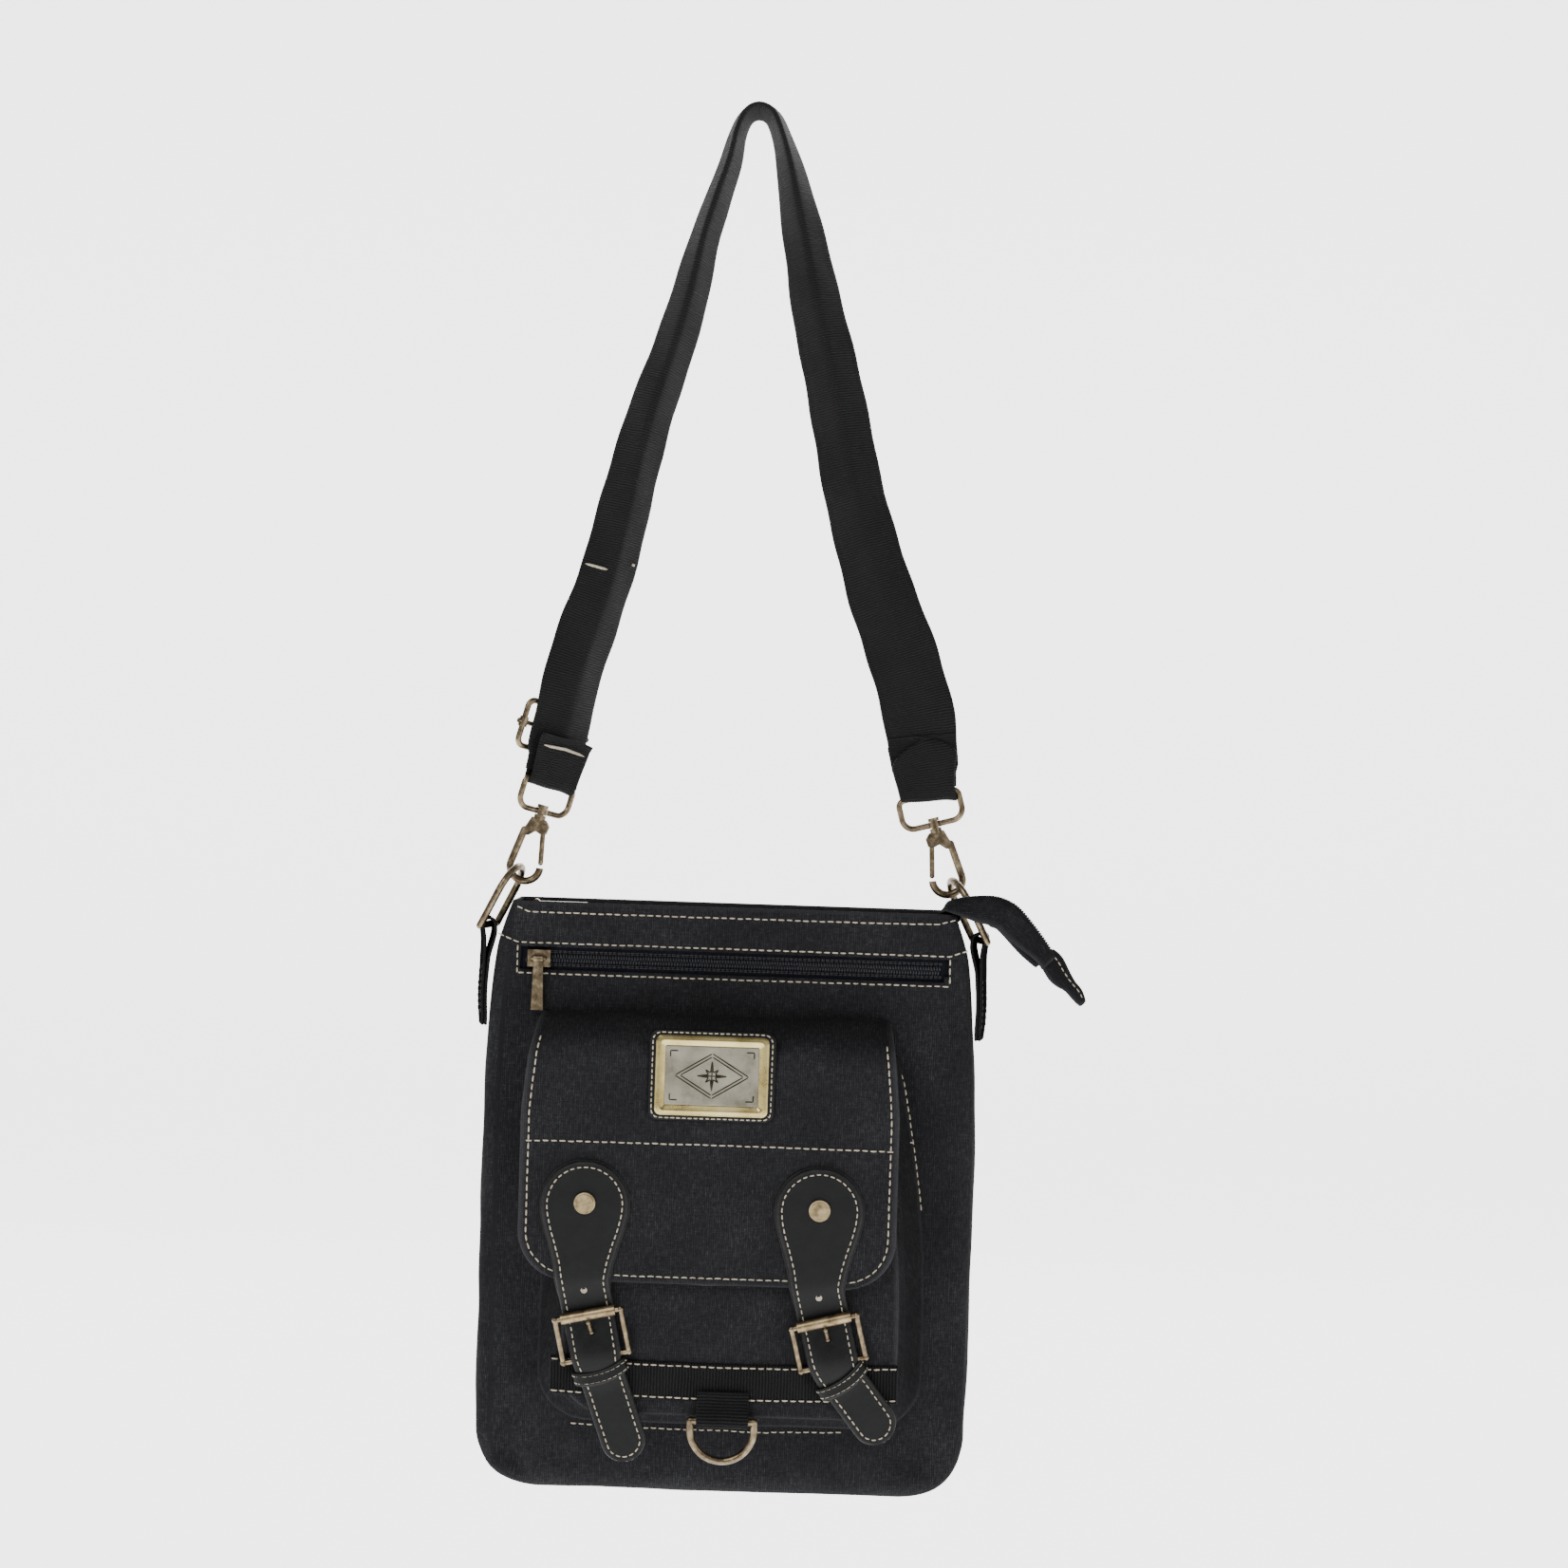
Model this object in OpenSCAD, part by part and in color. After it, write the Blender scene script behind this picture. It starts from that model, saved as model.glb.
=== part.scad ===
// Crossbody purse hanging by its shoulder strap.
// Millimetres, +Z up, the front faces -Y. The origin is the underside of the
// strap at its top, the point that a peg or a shoulder carries.

/* [Bag] */
// Width of the bag body
bag_w = 258; // [250:1:262]
// Height of the bag body from its hem to its bottom
bag_h = 311; // [304:1:316]
// Depth of the bag body, front to back
bag_d = 46; // [42:1:56]
// Radius of the bottom corners
bag_r = 30; // [20:1:40]
// Radius of the top corners
hem_r = 14; // [8:1:18]
// Thickness of the canvas
canvas_t = 1.8; // [1.4:0.1:2.2]
// Thickness of the lining
lining_t = 0.8; // [0.5:0.1:1]

/* [Cargo pocket] */
// Width of the cargo pocket
pocket_w = 200; // [190:1:206]
// Height of the cargo pocket
pocket_h = 195; // [185:1:200]
// How far the pocket stands out from the bag
pocket_d = 27; // [24:1:32]
// Radius of the pocket's bottom corners
pocket_r = 26; // [16:1:34]

/* [Flap] */
// Width of the flap at its fold
flap_top_w = 184; // [176:1:186]
// Width of the flap at its widest
flap_w = 193; // [186:1:198]
// Height of the hanging part of the flap
flap_h = 134; // [128:1:136]
// Width of the leather buckle straps
leather_w = 26; // [22:1:30]

/* [Strap and hardware] */
// Lean of each strap leg from upright
strap_lean = 15; // [13:1:17]
// Radius of the D-ring wire
ring_r = 1.9; // [1.5:0.1:2.1]
// Radius of the snap hook wire
hook_r = 2; // [1.7:0.1:2.2]
// Radius of the roller on each buckle
roller_r = 2.8; // [2.4:0.1:3]

/* [Hidden] */
$fn = 48;
bag_top = -423;
bag_bottom = bag_top - bag_h;
front_y = -20;
back_y = front_y + bag_d;
half_w = bag_w / 2;

// Top zip, recessed below the hem
zip_y = -4;
zip_z = bag_top - 6;
zip_gap = 5;
zip_half = half_w - hem_r;
coil_w = 5.6;
coil_t = 1.8;
tape_t = 0.6;

// Front zip
slot_x = [-110, 112];
slot_z = -453;
slot_h = 12;
front_slider_x = -102;

// Cargo pocket
pocket_x = 6;
pocket_top = -499;
face_y = front_y - pocket_d;
band_z = -666;
band_h = 20;
band_t = 1.4;
loop_x = 3;
front_ring_z = -686;
front_ring_y = face_y - band_t - 2.4;

// Flap
flap_x = -8;
fold_z = -481.5;
fold_y = front_y - 2;
flap_y = face_y - 6.7;
flap_bottom = fold_z - flap_h;
snap_z = -575;
strap_x = [-71, 49.5];
strap_top_z = -554;
leather_y = flap_y - 2.8;
badge_z = -508;

// Shoulder strap hardware
swivel = [105.3, 0, -376];
ring_bar = [131.3, -3.2, -437];
ring_lean = 27.2;
ring_yaw = -12;
ring_half = 14;
ring_leg = 21.4;

// Route of the webbing from the right eye, over the peg, to the left eye:
// x, z, width, thickness and turn (0 = edge on, 90 = flat to the front).
strap_route = [
    [101, -357, 33, 3, 88], [98, -337, 36, 3, 88], [95, -318, 36, 3, 84], [89, -297, 36, 3, 76],
    [82, -277, 36, 3, 68], [73, -254, 36, 3, 58], [64, -226, 36, 3, 52], [56, -198, 36, 3, 52],
    [49, -166, 36, 3, 52], [42, -135, 35, 3.5, 52], [34, -104, 33, 4, 52], [28, -76, 30, 5, 50],
    [22, -50, 27, 6, 42], [17, -28, 24, 7, 28], [12, -11, 21, 8, 12], [6.5, 1, 20, 9, 0],
    [-1, 4.5, 20, 9, 0], [-8, 1, 20, 9, 0], [-12.5, -9, 21, 8, 8], [-16, -25, 23, 7, 18],
    [-22, -44, 26, 6, 26], [-29, -68, 29, 5, 30], [-35, -96, 32, 4.5, 30],
    [-43, -126, 34, 4, 35], [-53, -158, 36, 3.5, 42], [-60, -186, 36, 3, 46],
    [-66, -214, 36, 3, 48], [-73, -246, 36, 3, 48], [-82, -276, 36, 3, 48],
    [-90, -302, 36, 3, 48], [-96, -326, 36, 3, 48], [-100, -344, 35, 3, 48],
    [-101.5, -357, 33, 3, 48]
];

// Ridge of the top zip's free tail: x, y, z and the drop of its sides.
tail_route = [
    [115.2, -9, -426.2, 2.2], [114.2, -15, -420, 2.6], [115, -22, -415.6, 3.6],
    [119, -28, -414.3, 6], [128, -30.5, -413.5, 8.5], [137, -30.5, -413.5, 10.5],
    [146, -30, -417, 11.5], [154, -29, -425, 12], [162, -28, -435, 11], [168, -26, -443, 9]
];

function unit(v) = v / norm(v);
function tangent(p, i) = unit(p[min(i + 1, len(p) - 1)] - p[max(i - 1, 0)]);
function strap_at(i) = [strap_route[i][0], 0, strap_route[i][1]];
strap_line = [for (i = [0:len(strap_route) - 1]) strap_at(i)];

// Quads round a lofted solid of n-sided rings, with both ends closed.
function loft_faces(rings, n) = concat(
    [[for (k = [n - 1:-1:0]) k]],
    [for (i = [0:rings - 2], k = [0:n - 1]) [i * n + k, i * n + (k + 1) % n, (i + 1) * n + k]],
    [for (i = [0:rings - 2], k = [0:n - 1])
        [i * n + (k + 1) % n, (i + 1) * n + (k + 1) % n, (i + 1) * n + k]],
    [[for (k = [0:n - 1]) (rings - 1) * n + k]]
);

// A plate of thickness t whose front is at y0, from a 2D outline in x and z.
module slab(y0, t) {
    translate([0, y0 + t, 0]) rotate([90, 0, 0]) linear_extrude(t) children();
}

// A plate of width w about x0, from a 2D outline in y and z.
module side_slab(x0, w) {
    translate([x0 - w / 2, 0, 0]) rotate([90, 0, 90]) linear_extrude(w) children();
}

module block(from, to) {
    translate(from) cube(to - from);
}

// A round bar between two points.
module rod(a, b, r) {
    d = b - a;
    translate(a)
        rotate([0, acos(d[2] / norm(d)), atan2(d[1], d[0])])
        cylinder(r = r, h = norm(d));
}

// A quarter or part turn of round wire in the XZ plane about c.
module bend(c, radius, r, from, sweep) {
    translate(c) rotate([90, 0, 0]) rotate([0, 0, from])
        rotate_extrude(angle = sweep) translate([radius, 0]) circle(r);
}

// Outline with rounded corners: half-width w, from z0 up to z1.
module round_outline(w, z0, z1, r0, r1) {
    translate([-w, z0 + r0]) square([2 * w, z1 - r1 - z0 - r0]);
    translate([-w + r0, z0]) square([2 * (w - r0), r0 + 0.5]);
    translate([-w + r1, z1 - r1 - 0.5]) square([2 * (w - r1), r1 + 0.5]);
    for (s = [-1, 1]) {
        translate([s * (w - r0), z0 + r0]) circle(r0);
        translate([s * (w - r1), z1 - r1]) circle(r1);
    }
}

// The body narrows towards its hem, which clears the side rings.
module bag_outline(inset = 0) {
    intersection() {
        round_outline(half_w - inset, bag_bottom + inset, bag_top, bag_r - inset, hem_r - inset);
        for (s = [0, 1]) mirror([s, 0]) polygon([
            [-1, bag_bottom - 1], [half_w - inset, bag_bottom - 1], [half_w - inset, bag_top - 44],
            [half_w - 3.5 - inset, bag_top - 14], [half_w - 10 - inset, bag_top + 1], [-1, bag_top + 1]
        ]);
    }
}

module pocket_outline(inset = 0, rise = 0) {
    translate([pocket_x, 0]) {
        w = pocket_w / 2 - inset;
        r = pocket_r - inset;
        z0 = pocket_top - pocket_h + inset;
        translate([-w, z0 + r]) square([2 * w, pocket_h - inset - r + rise]);
        translate([-w + r, z0]) square([2 * (w - r), r + 0.5]);
        for (s = [-1, 1]) translate([s * (w - r), z0 + r]) circle(r);
    }
}

// ---- Shoulder strap ----

module strap_webbing() {
    n = len(strap_route);
    points = [for (i = [0:n - 1]) let (
        row = strap_route[i],
        along = tangent(strap_line, i),
        flat = cross(along, [0, 1, 0]),
        side = cos(row[4]) * [0, -1, 0] - sin(row[4]) * flat,
        out = cross(along, side)
    ) each [
        strap_line[i] + side * row[2] / 2 + out * row[3] / 2,
        strap_line[i] + side * row[2] / 2 - out * row[3] / 2,
        strap_line[i] - side * row[2] / 2 - out * row[3] / 2,
        strap_line[i] - side * row[2] / 2 + out * row[3] / 2
    ]];
    color("#1f2124") polyhedron(points, loft_faces(n, 4), convexity = 8);
}

slider_at = [-98, 0, -333];
slider_w = 41;
slider_h = 25;
slider_r = 1.6;
collar_r = 2.4;
slider_off = 1.5 + collar_r + 0.4;

module at_slider() {
    translate(slider_at) rotate([0, strap_lean, 0]) rotate([0, 0, 42])
        translate([0, slider_off, 0]) children();
}

// A closed rectangle of round wire in the XZ plane, with round corners.
module wire_frame(w, h, corner, r) {
    for (s = [-1, 1]) {
        rod([-w / 2 + corner, 0, s * h / 2], [w / 2 - corner, 0, s * h / 2], r);
        rod([s * w / 2, 0, -h / 2 + corner], [s * w / 2, 0, h / 2 - corner], r);
    }
    for (q = [0:3]) {
        sx = (q == 0 || q == 3) ? 1 : -1;
        sz = q < 2 ? 1 : -1;
        bend([sx * (w / 2 - corner), 0, sz * (h / 2 - corner)], corner, r, q * 90, 90);
    }
}

module strap_slider() {
    color("#8a7450") at_slider() wire_frame(slider_w, slider_h, 4, slider_r);
}

// Bar whose bored collars slide on the sides of the slider's frame.
module strap_slider_bar() {
    reach = slider_w / 2;
    color("#8a7450") at_slider() difference() {
        union() {
            rod([-reach - 3.4, 0, 0], [reach + 3.4, 0, 0], 1.3);
            for (s = [-1, 1]) translate([s * reach, 0, 0])
                cylinder(r = collar_r, h = 5.4, center = true);
        }
        for (s = [-1, 1]) translate([s * reach, 0, 0])
            cylinder(r = slider_r + 0.15, h = 8, center = true);
    }
}

// ---- Snap hooks ----

// Places a child at the left (-1) or right (1) swivel, turned by yaw.
module at_swivel(side, yaw = 0) {
    translate([side * swivel[0], swivel[1], swivel[2]])
        rotate([0, -side * strap_lean, 0]) rotate([0, 0, yaw]) children();
}

// Loop that the webbing passes through, with the boss that the swivel turns in.
module eye() {
    half = 16.4;
    low = 6.2;
    high = 3.4;
    top = 16;
    wire = 1.6;
    color("#8a7450") difference() {
        union() {
            cylinder(r = 3.4, h = 3.2, center = true);
            for (s = [-1, 1]) {
                rod([s * 2.6, 0, 0], [s * (half - low), 0, 0], wire);
                rod([s * half, 0, low], [s * half, 0, top - high], wire);
            }
            bend([half - low, 0, low], low, wire, 270, 90);
            bend([-half + low, 0, low], low, wire, 180, 90);
            bend([half - high, 0, top - high], high, wire, 0, 90);
            bend([-half + high, 0, top - high], high, wire, 90, 90);
            rod([-half + high, 0, top], [half - high, 0, top], wire);
        }
        cylinder(r = 1.95, h = 10, center = true);
    }
}

bow_r = 8;
bow_z = -30.5;
nose_turn = 8;
pin_at = [3.4, 0, -8];
gate_tip = [7.5, 0, -26.6];

// Hook body with its swivel stem; the gate is on the +x side.
module hook_shape() {
    color("#8a7450") difference() {
        union() {
            translate([0, 0, 1.8]) cylinder(r = 3, h = 1.8);
            translate([0, 0, -2.4]) cylinder(r = 1.8, h = 4.4);
            translate([0, 0, -4.6]) cylinder(r = 3.2, h = 2.6);
            slab(-2.6, 5.2)
                polygon([
                    [-4, -4], [4, -4], [6.4, -7], [6, -11], [3.6, -12], [0, -11], [-3, -14], [-7.6, -15]
                ]);
            rod([-6, 0, -12], [-bow_r, 0, bow_z], hook_r);
            translate([-6, 0, -12]) sphere(hook_r);
            bend([0, 0, bow_z], bow_r, hook_r, 180, 180 + nose_turn);
        }
        slab(-1.5, 3)
            polygon([[0.4, -4.8], [9, -4.8], [9, -14], [2.4, -14]]);
        translate(pin_at) rotate([90, 0, 0]) cylinder(r = 1.1, h = 12, center = true);
        rod([-4, 0, -8.4], [1, 0, -8.4], 1.1);
    }
}

module gate_shape() {
    color("#8a7450") difference() {
        union() {
            rod(pin_at, gate_tip, 1.4);
            translate(gate_tip) sphere(1.4);
            translate(pin_at) rotate([90, 0, 0]) cylinder(r = 2.1, h = 2.6, center = true);
        }
        translate(pin_at) rotate([90, 0, 0]) cylinder(r = 1.15, h = 8, center = true);
    }
}

module gate_pin_shape() {
    color("#8a7450") translate(pin_at) rotate([90, 0, 0]) {
        cylinder(r = 1.05, h = 5.2, center = true);
        translate([0, 0, 2.6]) cylinder(r = 1.9, h = 0.6);
        translate([0, 0, -3.2]) cylinder(r = 1.9, h = 0.6);
    }
}

module gate_spring_shape() {
    color("#b0b0b0") rod([-3.8, 0, -8.4], [-0.4, 0, -8.4], 0.9);
}

module eye_left() { at_swivel(-1, 42) eye(); }
module eye_right() { at_swivel(1) eye(); }
module hook_left() { at_swivel(-1) hook_shape(); }
module hook_right() { at_swivel(1, 180) hook_shape(); }
module gate_left() { at_swivel(-1) gate_shape(); }
module gate_right() { at_swivel(1, 180) gate_shape(); }
module gate_pin_left() { at_swivel(-1) gate_pin_shape(); }
module gate_pin_right() { at_swivel(1, 180) gate_pin_shape(); }
module gate_spring_left() { at_swivel(-1) gate_spring_shape(); }
module gate_spring_right() { at_swivel(1, 180) gate_spring_shape(); }

// ---- Side tabs and rings ----

// Places a child at the ring bar of the left (-1) or right (1) tab, with the bar along Y.
module at_ring_bar(side) {
    translate([side * ring_bar[0], ring_bar[1], ring_bar[2]])
        rotate([0, 0, -side * ring_yaw]) children();
}

// D-ring with its bar along Y, leaning inwards over the bag.
module side_ring(side) {
    color("#8a7450") at_ring_bar(side) rotate([0, -side * ring_lean, 0]) rotate([0, 0, 90]) {
        rod([-ring_half, 0, 0], [ring_half, 0, 0], ring_r);
        for (s = [-1, 1]) {
            translate([s * ring_half, 0, 0]) sphere(ring_r);
            rod([s * ring_half, 0, 0], [s * ring_half, 0, ring_leg], ring_r);
        }
        bend([0, 0, ring_leg], ring_half, ring_r, 0, 180);
    }
}

tab_w = 20;
tab_t = 3.6;
tab_h = 52;

// Leather folded over the ring bar and sewn down the side of the bag.
module side_tab(side) {
    bore = ring_r + 0.3;
    shell = bore + 1.9;
    color("#17181a") difference() {
        union() {
            translate([side * (half_w + 0.2 + tab_t / 2), ring_bar[1], ring_bar[2] - tab_h / 2 - 1.5])
                cube([tab_t, tab_w, tab_h], center = true);
            at_ring_bar(side) rotate([90, 0, 0]) cylinder(r = shell, h = tab_w, center = true);
        }
        at_ring_bar(side) rotate([90, 0, 0]) cylinder(r = bore, h = tab_w + 10, center = true);
        block([-half_w - 0.2, -20, -470], [half_w + 0.2, 20, -425]);
    }
}

module side_ring_left() { side_ring(-1); }
module side_ring_right() { side_ring(1); }
module side_tab_left() { side_tab(-1); }
module side_tab_right() { side_tab(1); }

// ---- Bag body ----

module front_panel() {
    color("#4a4d54") slab(front_y, canvas_t) difference() {
        bag_outline();
        translate([slot_x[0], slot_z - slot_h / 2]) square([slot_x[1] - slot_x[0], slot_h]);
    }
}

module back_panel() {
    color("#43464c") slab(back_y - canvas_t, canvas_t) bag_outline();
}

module gusset() {
    color("#45484e") slab(front_y + canvas_t, bag_d - 2 * canvas_t) difference() {
        bag_outline();
        bag_outline(canvas_t);
        translate([-zip_half, bag_top - 10]) square([2 * zip_half, 20]);
        translate([-half_w, bag_top - hem_r + 2]) square([bag_w, hem_r]);
    }
}

// Open-topped lining that hangs just inside the canvas.
module lining() {
    gap = canvas_t + 0.3;
    top = zip_z - 3;
    color("#77736a") difference() {
        slab(front_y + 3.4, bag_d - 3.4 - gap) intersection() {
            bag_outline(gap);
            translate([-half_w, bag_bottom]) square([bag_w, top - bag_bottom]);
        }
        slab(front_y + 3.4 + lining_t, bag_d - 3.4 - gap - 2 * lining_t)
            bag_outline(gap + lining_t);
    }
}

module zip_strip(y0, y1) {
    block([-zip_half, y0, zip_z - 1.2], [zip_half, y1, zip_z]);
}

module top_zip_front() {
    color("#4a4d54") zip_strip(front_y + canvas_t, zip_y - zip_gap);
}

module top_zip_back() {
    color("#4a4d54") zip_strip(zip_y + zip_gap, back_y - canvas_t);
}

module top_zip_tape() {
    color("#1b1c22")
        block([-zip_half, zip_y - 12, zip_z - 1.2 - tape_t], [zip_half, zip_y + 12, zip_z - 1.2]);
}

module top_zip_coil() {
    z0 = zip_z - 1.2;
    color("#15161b")
        block([-zip_half, zip_y - coil_w / 2, z0], [zip_half - 1, zip_y + coil_w / 2, z0 + coil_t]);
}

// Free end of the zip: canvas folded down on both sides of the ridge.
module top_zip_tail() {
    half = 5;
    wall = 1.8;
    n = len(tail_route);
    ridge = [for (p = tail_route) [p[0], p[1], p[2]]];
    points = [for (i = [0:n - 1]) let (
        along = tangent(ridge, i),
        side = unit(cross(along, [0, 0, 1])),
        up = cross(side, along),
        drop = tail_route[i][3]
    ) each [
        ridge[i] + side * half - up * drop,
        ridge[i] + side * half,
        ridge[i] - side * half,
        ridge[i] - side * half - up * drop,
        ridge[i] - side * (half - wall) - up * drop,
        ridge[i] - side * (half - wall) - up * min(wall, drop * 0.6),
        ridge[i] + side * (half - wall) - up * min(wall, drop * 0.6),
        ridge[i] + side * (half - wall) - up * drop
    ]];
    color("#3f4247") polyhedron(points, loft_faces(n, 8), convexity = 6);
}

// Folded canvas tab that closes the end of the tail.
module top_zip_end() {
    color("#3a3d42") translate([168.4, -26, -443.6]) rotate([0, 50, 0])
        translate([0, -6, -8]) cube([28, 12, 7.4]);
}

// ---- Zip sliders ----

bail_y = -(coil_t + 0.3 + 1.2 + 2.4);

// Slider over a coil that runs along X, with its top towards -Y. The bail for the
// pull runs along X, or across the zip when turned by 90.
module slider_shape(turn) {
    long = 12;
    wide = 9;
    roof = 1.2;
    wall = 1.2;
    high = coil_t + 0.3;
    color("#8a7450") {
        block([-long / 2, -high - roof, -wide / 2], [long / 2, -high, wide / 2]);
        for (s = [-1, 1])
            translate([-long / 2, -high, s * (wide - wall) / 2 - wall / 2])
                cube([long, high - 0.3, wall]);
        rotate([0, turn, 0]) {
            for (s = [-1, 1]) {
                rod([s * 3.4, -high - roof + 0.2, 0], [s * 3.4, bail_y, 0], 0.8);
                translate([s * 3.4, bail_y, 0]) sphere(0.8);
            }
            rod([-3.4, bail_y, 0], [3.4, bail_y, 0], 0.8);
        }
    }
}

pull_len = 27;

// Pull that turns on the slider's bail; it hangs towards -Z.
module pull_shape() {
    color("#8a7450") difference() {
        union() {
            translate([0, bail_y, 0]) rotate([0, 90, 0]) cylinder(r = 2, h = 4.8, center = true);
            slab(bail_y - 0.8, 1.6)
                polygon([[-2.4, 0], [2.4, 0], [3.2, -pull_len], [-3.2, -pull_len]]);
        }
        translate([0, bail_y, 0]) rotate([0, 90, 0]) cylinder(r = 0.9, h = 8, center = true);
    }
}

front_seat_y = front_y + canvas_t - 0.2;

module at_front_slider() {
    translate([front_slider_x, front_seat_y, slot_z]) children();
}

// The top slider faces up, and its pull lies along the zip.
module at_top_slider() {
    translate([-zip_half + 9, zip_y, zip_z - 1.2]) rotate([-90, 0, 0]) children();
}

module front_slider() { at_front_slider() slider_shape(0); }
module front_pull() { at_front_slider() pull_shape(); }
module top_slider() { at_top_slider() slider_shape(90); }
module top_pull() { at_top_slider() rotate([0, -90, 0]) pull_shape(); }

module front_zip_tape() {
    color("#1b1c22")
        block([slot_x[0] - 3, front_y + canvas_t, slot_z - 12],
            [slot_x[1] + 3, front_y + canvas_t + tape_t, slot_z + 12]);
}

module front_zip_coil() {
    color("#15161b")
        block([slot_x[0] + 1, front_seat_y - coil_t + 0.2, slot_z - coil_w / 2],
            [slot_x[1] - 1, front_y + canvas_t, slot_z + coil_w / 2]);
}

// Flat bag behind the front zip.
module front_zip_bag() {
    color("#77736a") difference() {
        block([-112, front_y + canvas_t + tape_t, -560], [114, front_y + 3.3, -444]);
        block([-110, front_y + canvas_t + tape_t + 0.3, -558], [112, front_y + 3, -446]);
        block([-109, front_y + canvas_t, slot_z - 3], [111, front_y + 3, slot_z + 3]);
    }
}

// ---- Cargo pocket ----

module pocket_front() {
    color("#4a4d54") slab(face_y, canvas_t) pocket_outline();
}

module pocket_gusset() {
    color("#45484e") slab(face_y + canvas_t, pocket_d - canvas_t) difference() {
        pocket_outline();
        pocket_outline(canvas_t, 1);
    }
}

module pocket_band() {
    color("#202226") slab(face_y - band_t, band_t)
        translate([pocket_x - pocket_w / 2 + 6, band_z - band_h / 2]) square([pocket_w - 12, band_h]);
}

// Webbing folded round the bar of the front ring.
module pocket_loop() {
    bore = ring_r + 0.4;
    shell = bore + 1.2;
    color("#202226") difference() {
        union() {
            block([loop_x - 13, face_y - band_t - 1.6, front_ring_z],
                [loop_x + 13, face_y - band_t, band_z - 4]);
            translate([loop_x, front_ring_y, front_ring_z]) rotate([0, 90, 0])
                cylinder(r = shell, h = 26, center = true);
        }
        translate([loop_x, front_ring_y, front_ring_z]) rotate([0, 90, 0])
            cylinder(r = bore, h = 40, center = true);
        block([-50, face_y, -720], [50, face_y + 6, -640]);
    }
}

module front_ring() {
    half = 16.5;
    leg = 4;
    color("#8a7450") translate([loop_x, front_ring_y, front_ring_z]) {
        rod([-half, 0, 0], [half, 0, 0], ring_r);
        for (s = [-1, 1]) {
            translate([s * half, 0, 0]) sphere(ring_r);
            rod([s * half, 0, 0], [s * half, 0, -leg], ring_r);
        }
        bend([0, 0, -leg], half, ring_r, 180, 180);
    }
}

snap_r = 8;
nub_r = 4.4;

// Female halves of the magnetic snaps, on the pocket.
module snap_sockets() {
    color("#9a958a") for (x = strap_x) difference() {
        translate([x, face_y, snap_z]) rotate([90, 0, 0]) cylinder(r = snap_r, h = 2);
        translate([x, face_y - 0.8, snap_z]) rotate([90, 0, 0]) cylinder(r = nub_r + 0.8, h = 3);
    }
}

// Male halves of the magnetic snaps, on the back of the flap.
module snap_studs() {
    color("#9a958a") for (x = strap_x) translate([x, flap_y + 2.4, snap_z]) rotate([-90, 0, 0]) {
        cylinder(r = snap_r, h = 1.9);
        cylinder(r = nub_r, h = 2.8);
    }
}

// ---- Flap ----

// Front outline of the flap, wider below its fold, with round lower corners.
module flap_outline() {
    top = flap_top_w / 2;
    wide = flap_w / 2;
    r = 24;
    translate([flap_x, 0]) {
        polygon([
            [-top + 2, fold_z + 3], [top, fold_z + 3], [wide, fold_z - 45], [wide, flap_bottom + r],
            [-wide, flap_bottom + r], [-wide, fold_z - 45]
        ]);
        translate([r - wide, flap_bottom]) square([2 * (wide - r), r + 5]);
        for (s = [-1, 1]) translate([s * (wide - r), flap_bottom + r]) circle(r);
    }
}

// Side profile of one layer of the flap, from its outer face in by d0 to d1.
module flap_profile(d0, d1, start) {
    lean = 0.4;
    seam_y = fold_y - 6;
    seam_z = fold_z + 0.5 + 0.6 * (start - seam_y) / 6.8;
    polygon([
        [start, seam_z - d0], [seam_y, fold_z + 0.5 - d0], [-46 + d0 * lean, -488 - d0],
        [flap_y + 1.2 + d0, -496 - d0 * lean], [flap_y + d0, -504 - d0 * lean], [flap_y + d0, -640],
        [flap_y + d1, -640], [flap_y + d1, -504 - d1 * lean], [flap_y + 1.2 + d1, -496 - d1 * lean],
        [-46 + d1 * lean, -488 - d1], [seam_y, fold_z + 0.5 - d1], [start, seam_z - d1]
    ]);
}

module flap_layer(d0, d1, start) {
    intersection() {
        side_slab(flap_x, flap_w + 20) flap_profile(d0, d1, start);
        slab(-80, 80) flap_outline();
    }
}

module flap_panel() { color("#4a4d54") flap_layer(0, 1.6, fold_y + 0.8); }
module flap_facing() { color("#3c3f45") flap_layer(1.7, 2.4, fold_y - 3); }

badge_w = 62;
badge_h = 45;

module badge_patch() {
    color("#17181a") translate([flap_x, 0, 0]) difference() {
        slab(flap_y - 2, 2)
            round_outline(badge_w / 2, badge_z - badge_h / 2, badge_z + badge_h / 2, 5, 5);
        slab(flap_y - 3, 2.2) translate([-24, badge_z - 15]) square([48, 30]);
    }
}

module badge_frame() {
    color("#c9ad6a") translate([flap_x, 0, 0]) difference() {
        slab(flap_y - 3.4, 1.4)
            round_outline(29, badge_z - 20.5, badge_z + 20.5, 4, 4);
        slab(flap_y - 4, 3) translate([-24, badge_z - 15]) square([48, 30]);
    }
}

module badge_plate() {
    color("#8c8468") translate([flap_x, 0, 0])
        slab(flap_y - 2.4, 1.6) translate([-23.9, badge_z - 14.9]) square([47.8, 29.8]);
}

// Teardrop leather that narrows to the buckle strap, on the flap.
module buckle_strap(x) {
    head = 22;
    color("#17181a") slab(leather_y, 2.8) translate([x, 0]) difference() {
        union() {
            translate([0, strap_top_z - head]) circle(head);
            polygon([
                [-head + 1, strap_top_z - head + 4], [head - 1, strap_top_z - head + 4],
                [head - 4, strap_top_z - 40], [leather_w / 2, flap_bottom + 0.3],
                [-leather_w / 2, flap_bottom + 0.3], [4 - head, strap_top_z - 40]
            ]);
        }
        translate([0, snap_z]) circle(2.6);
    }
}

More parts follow.
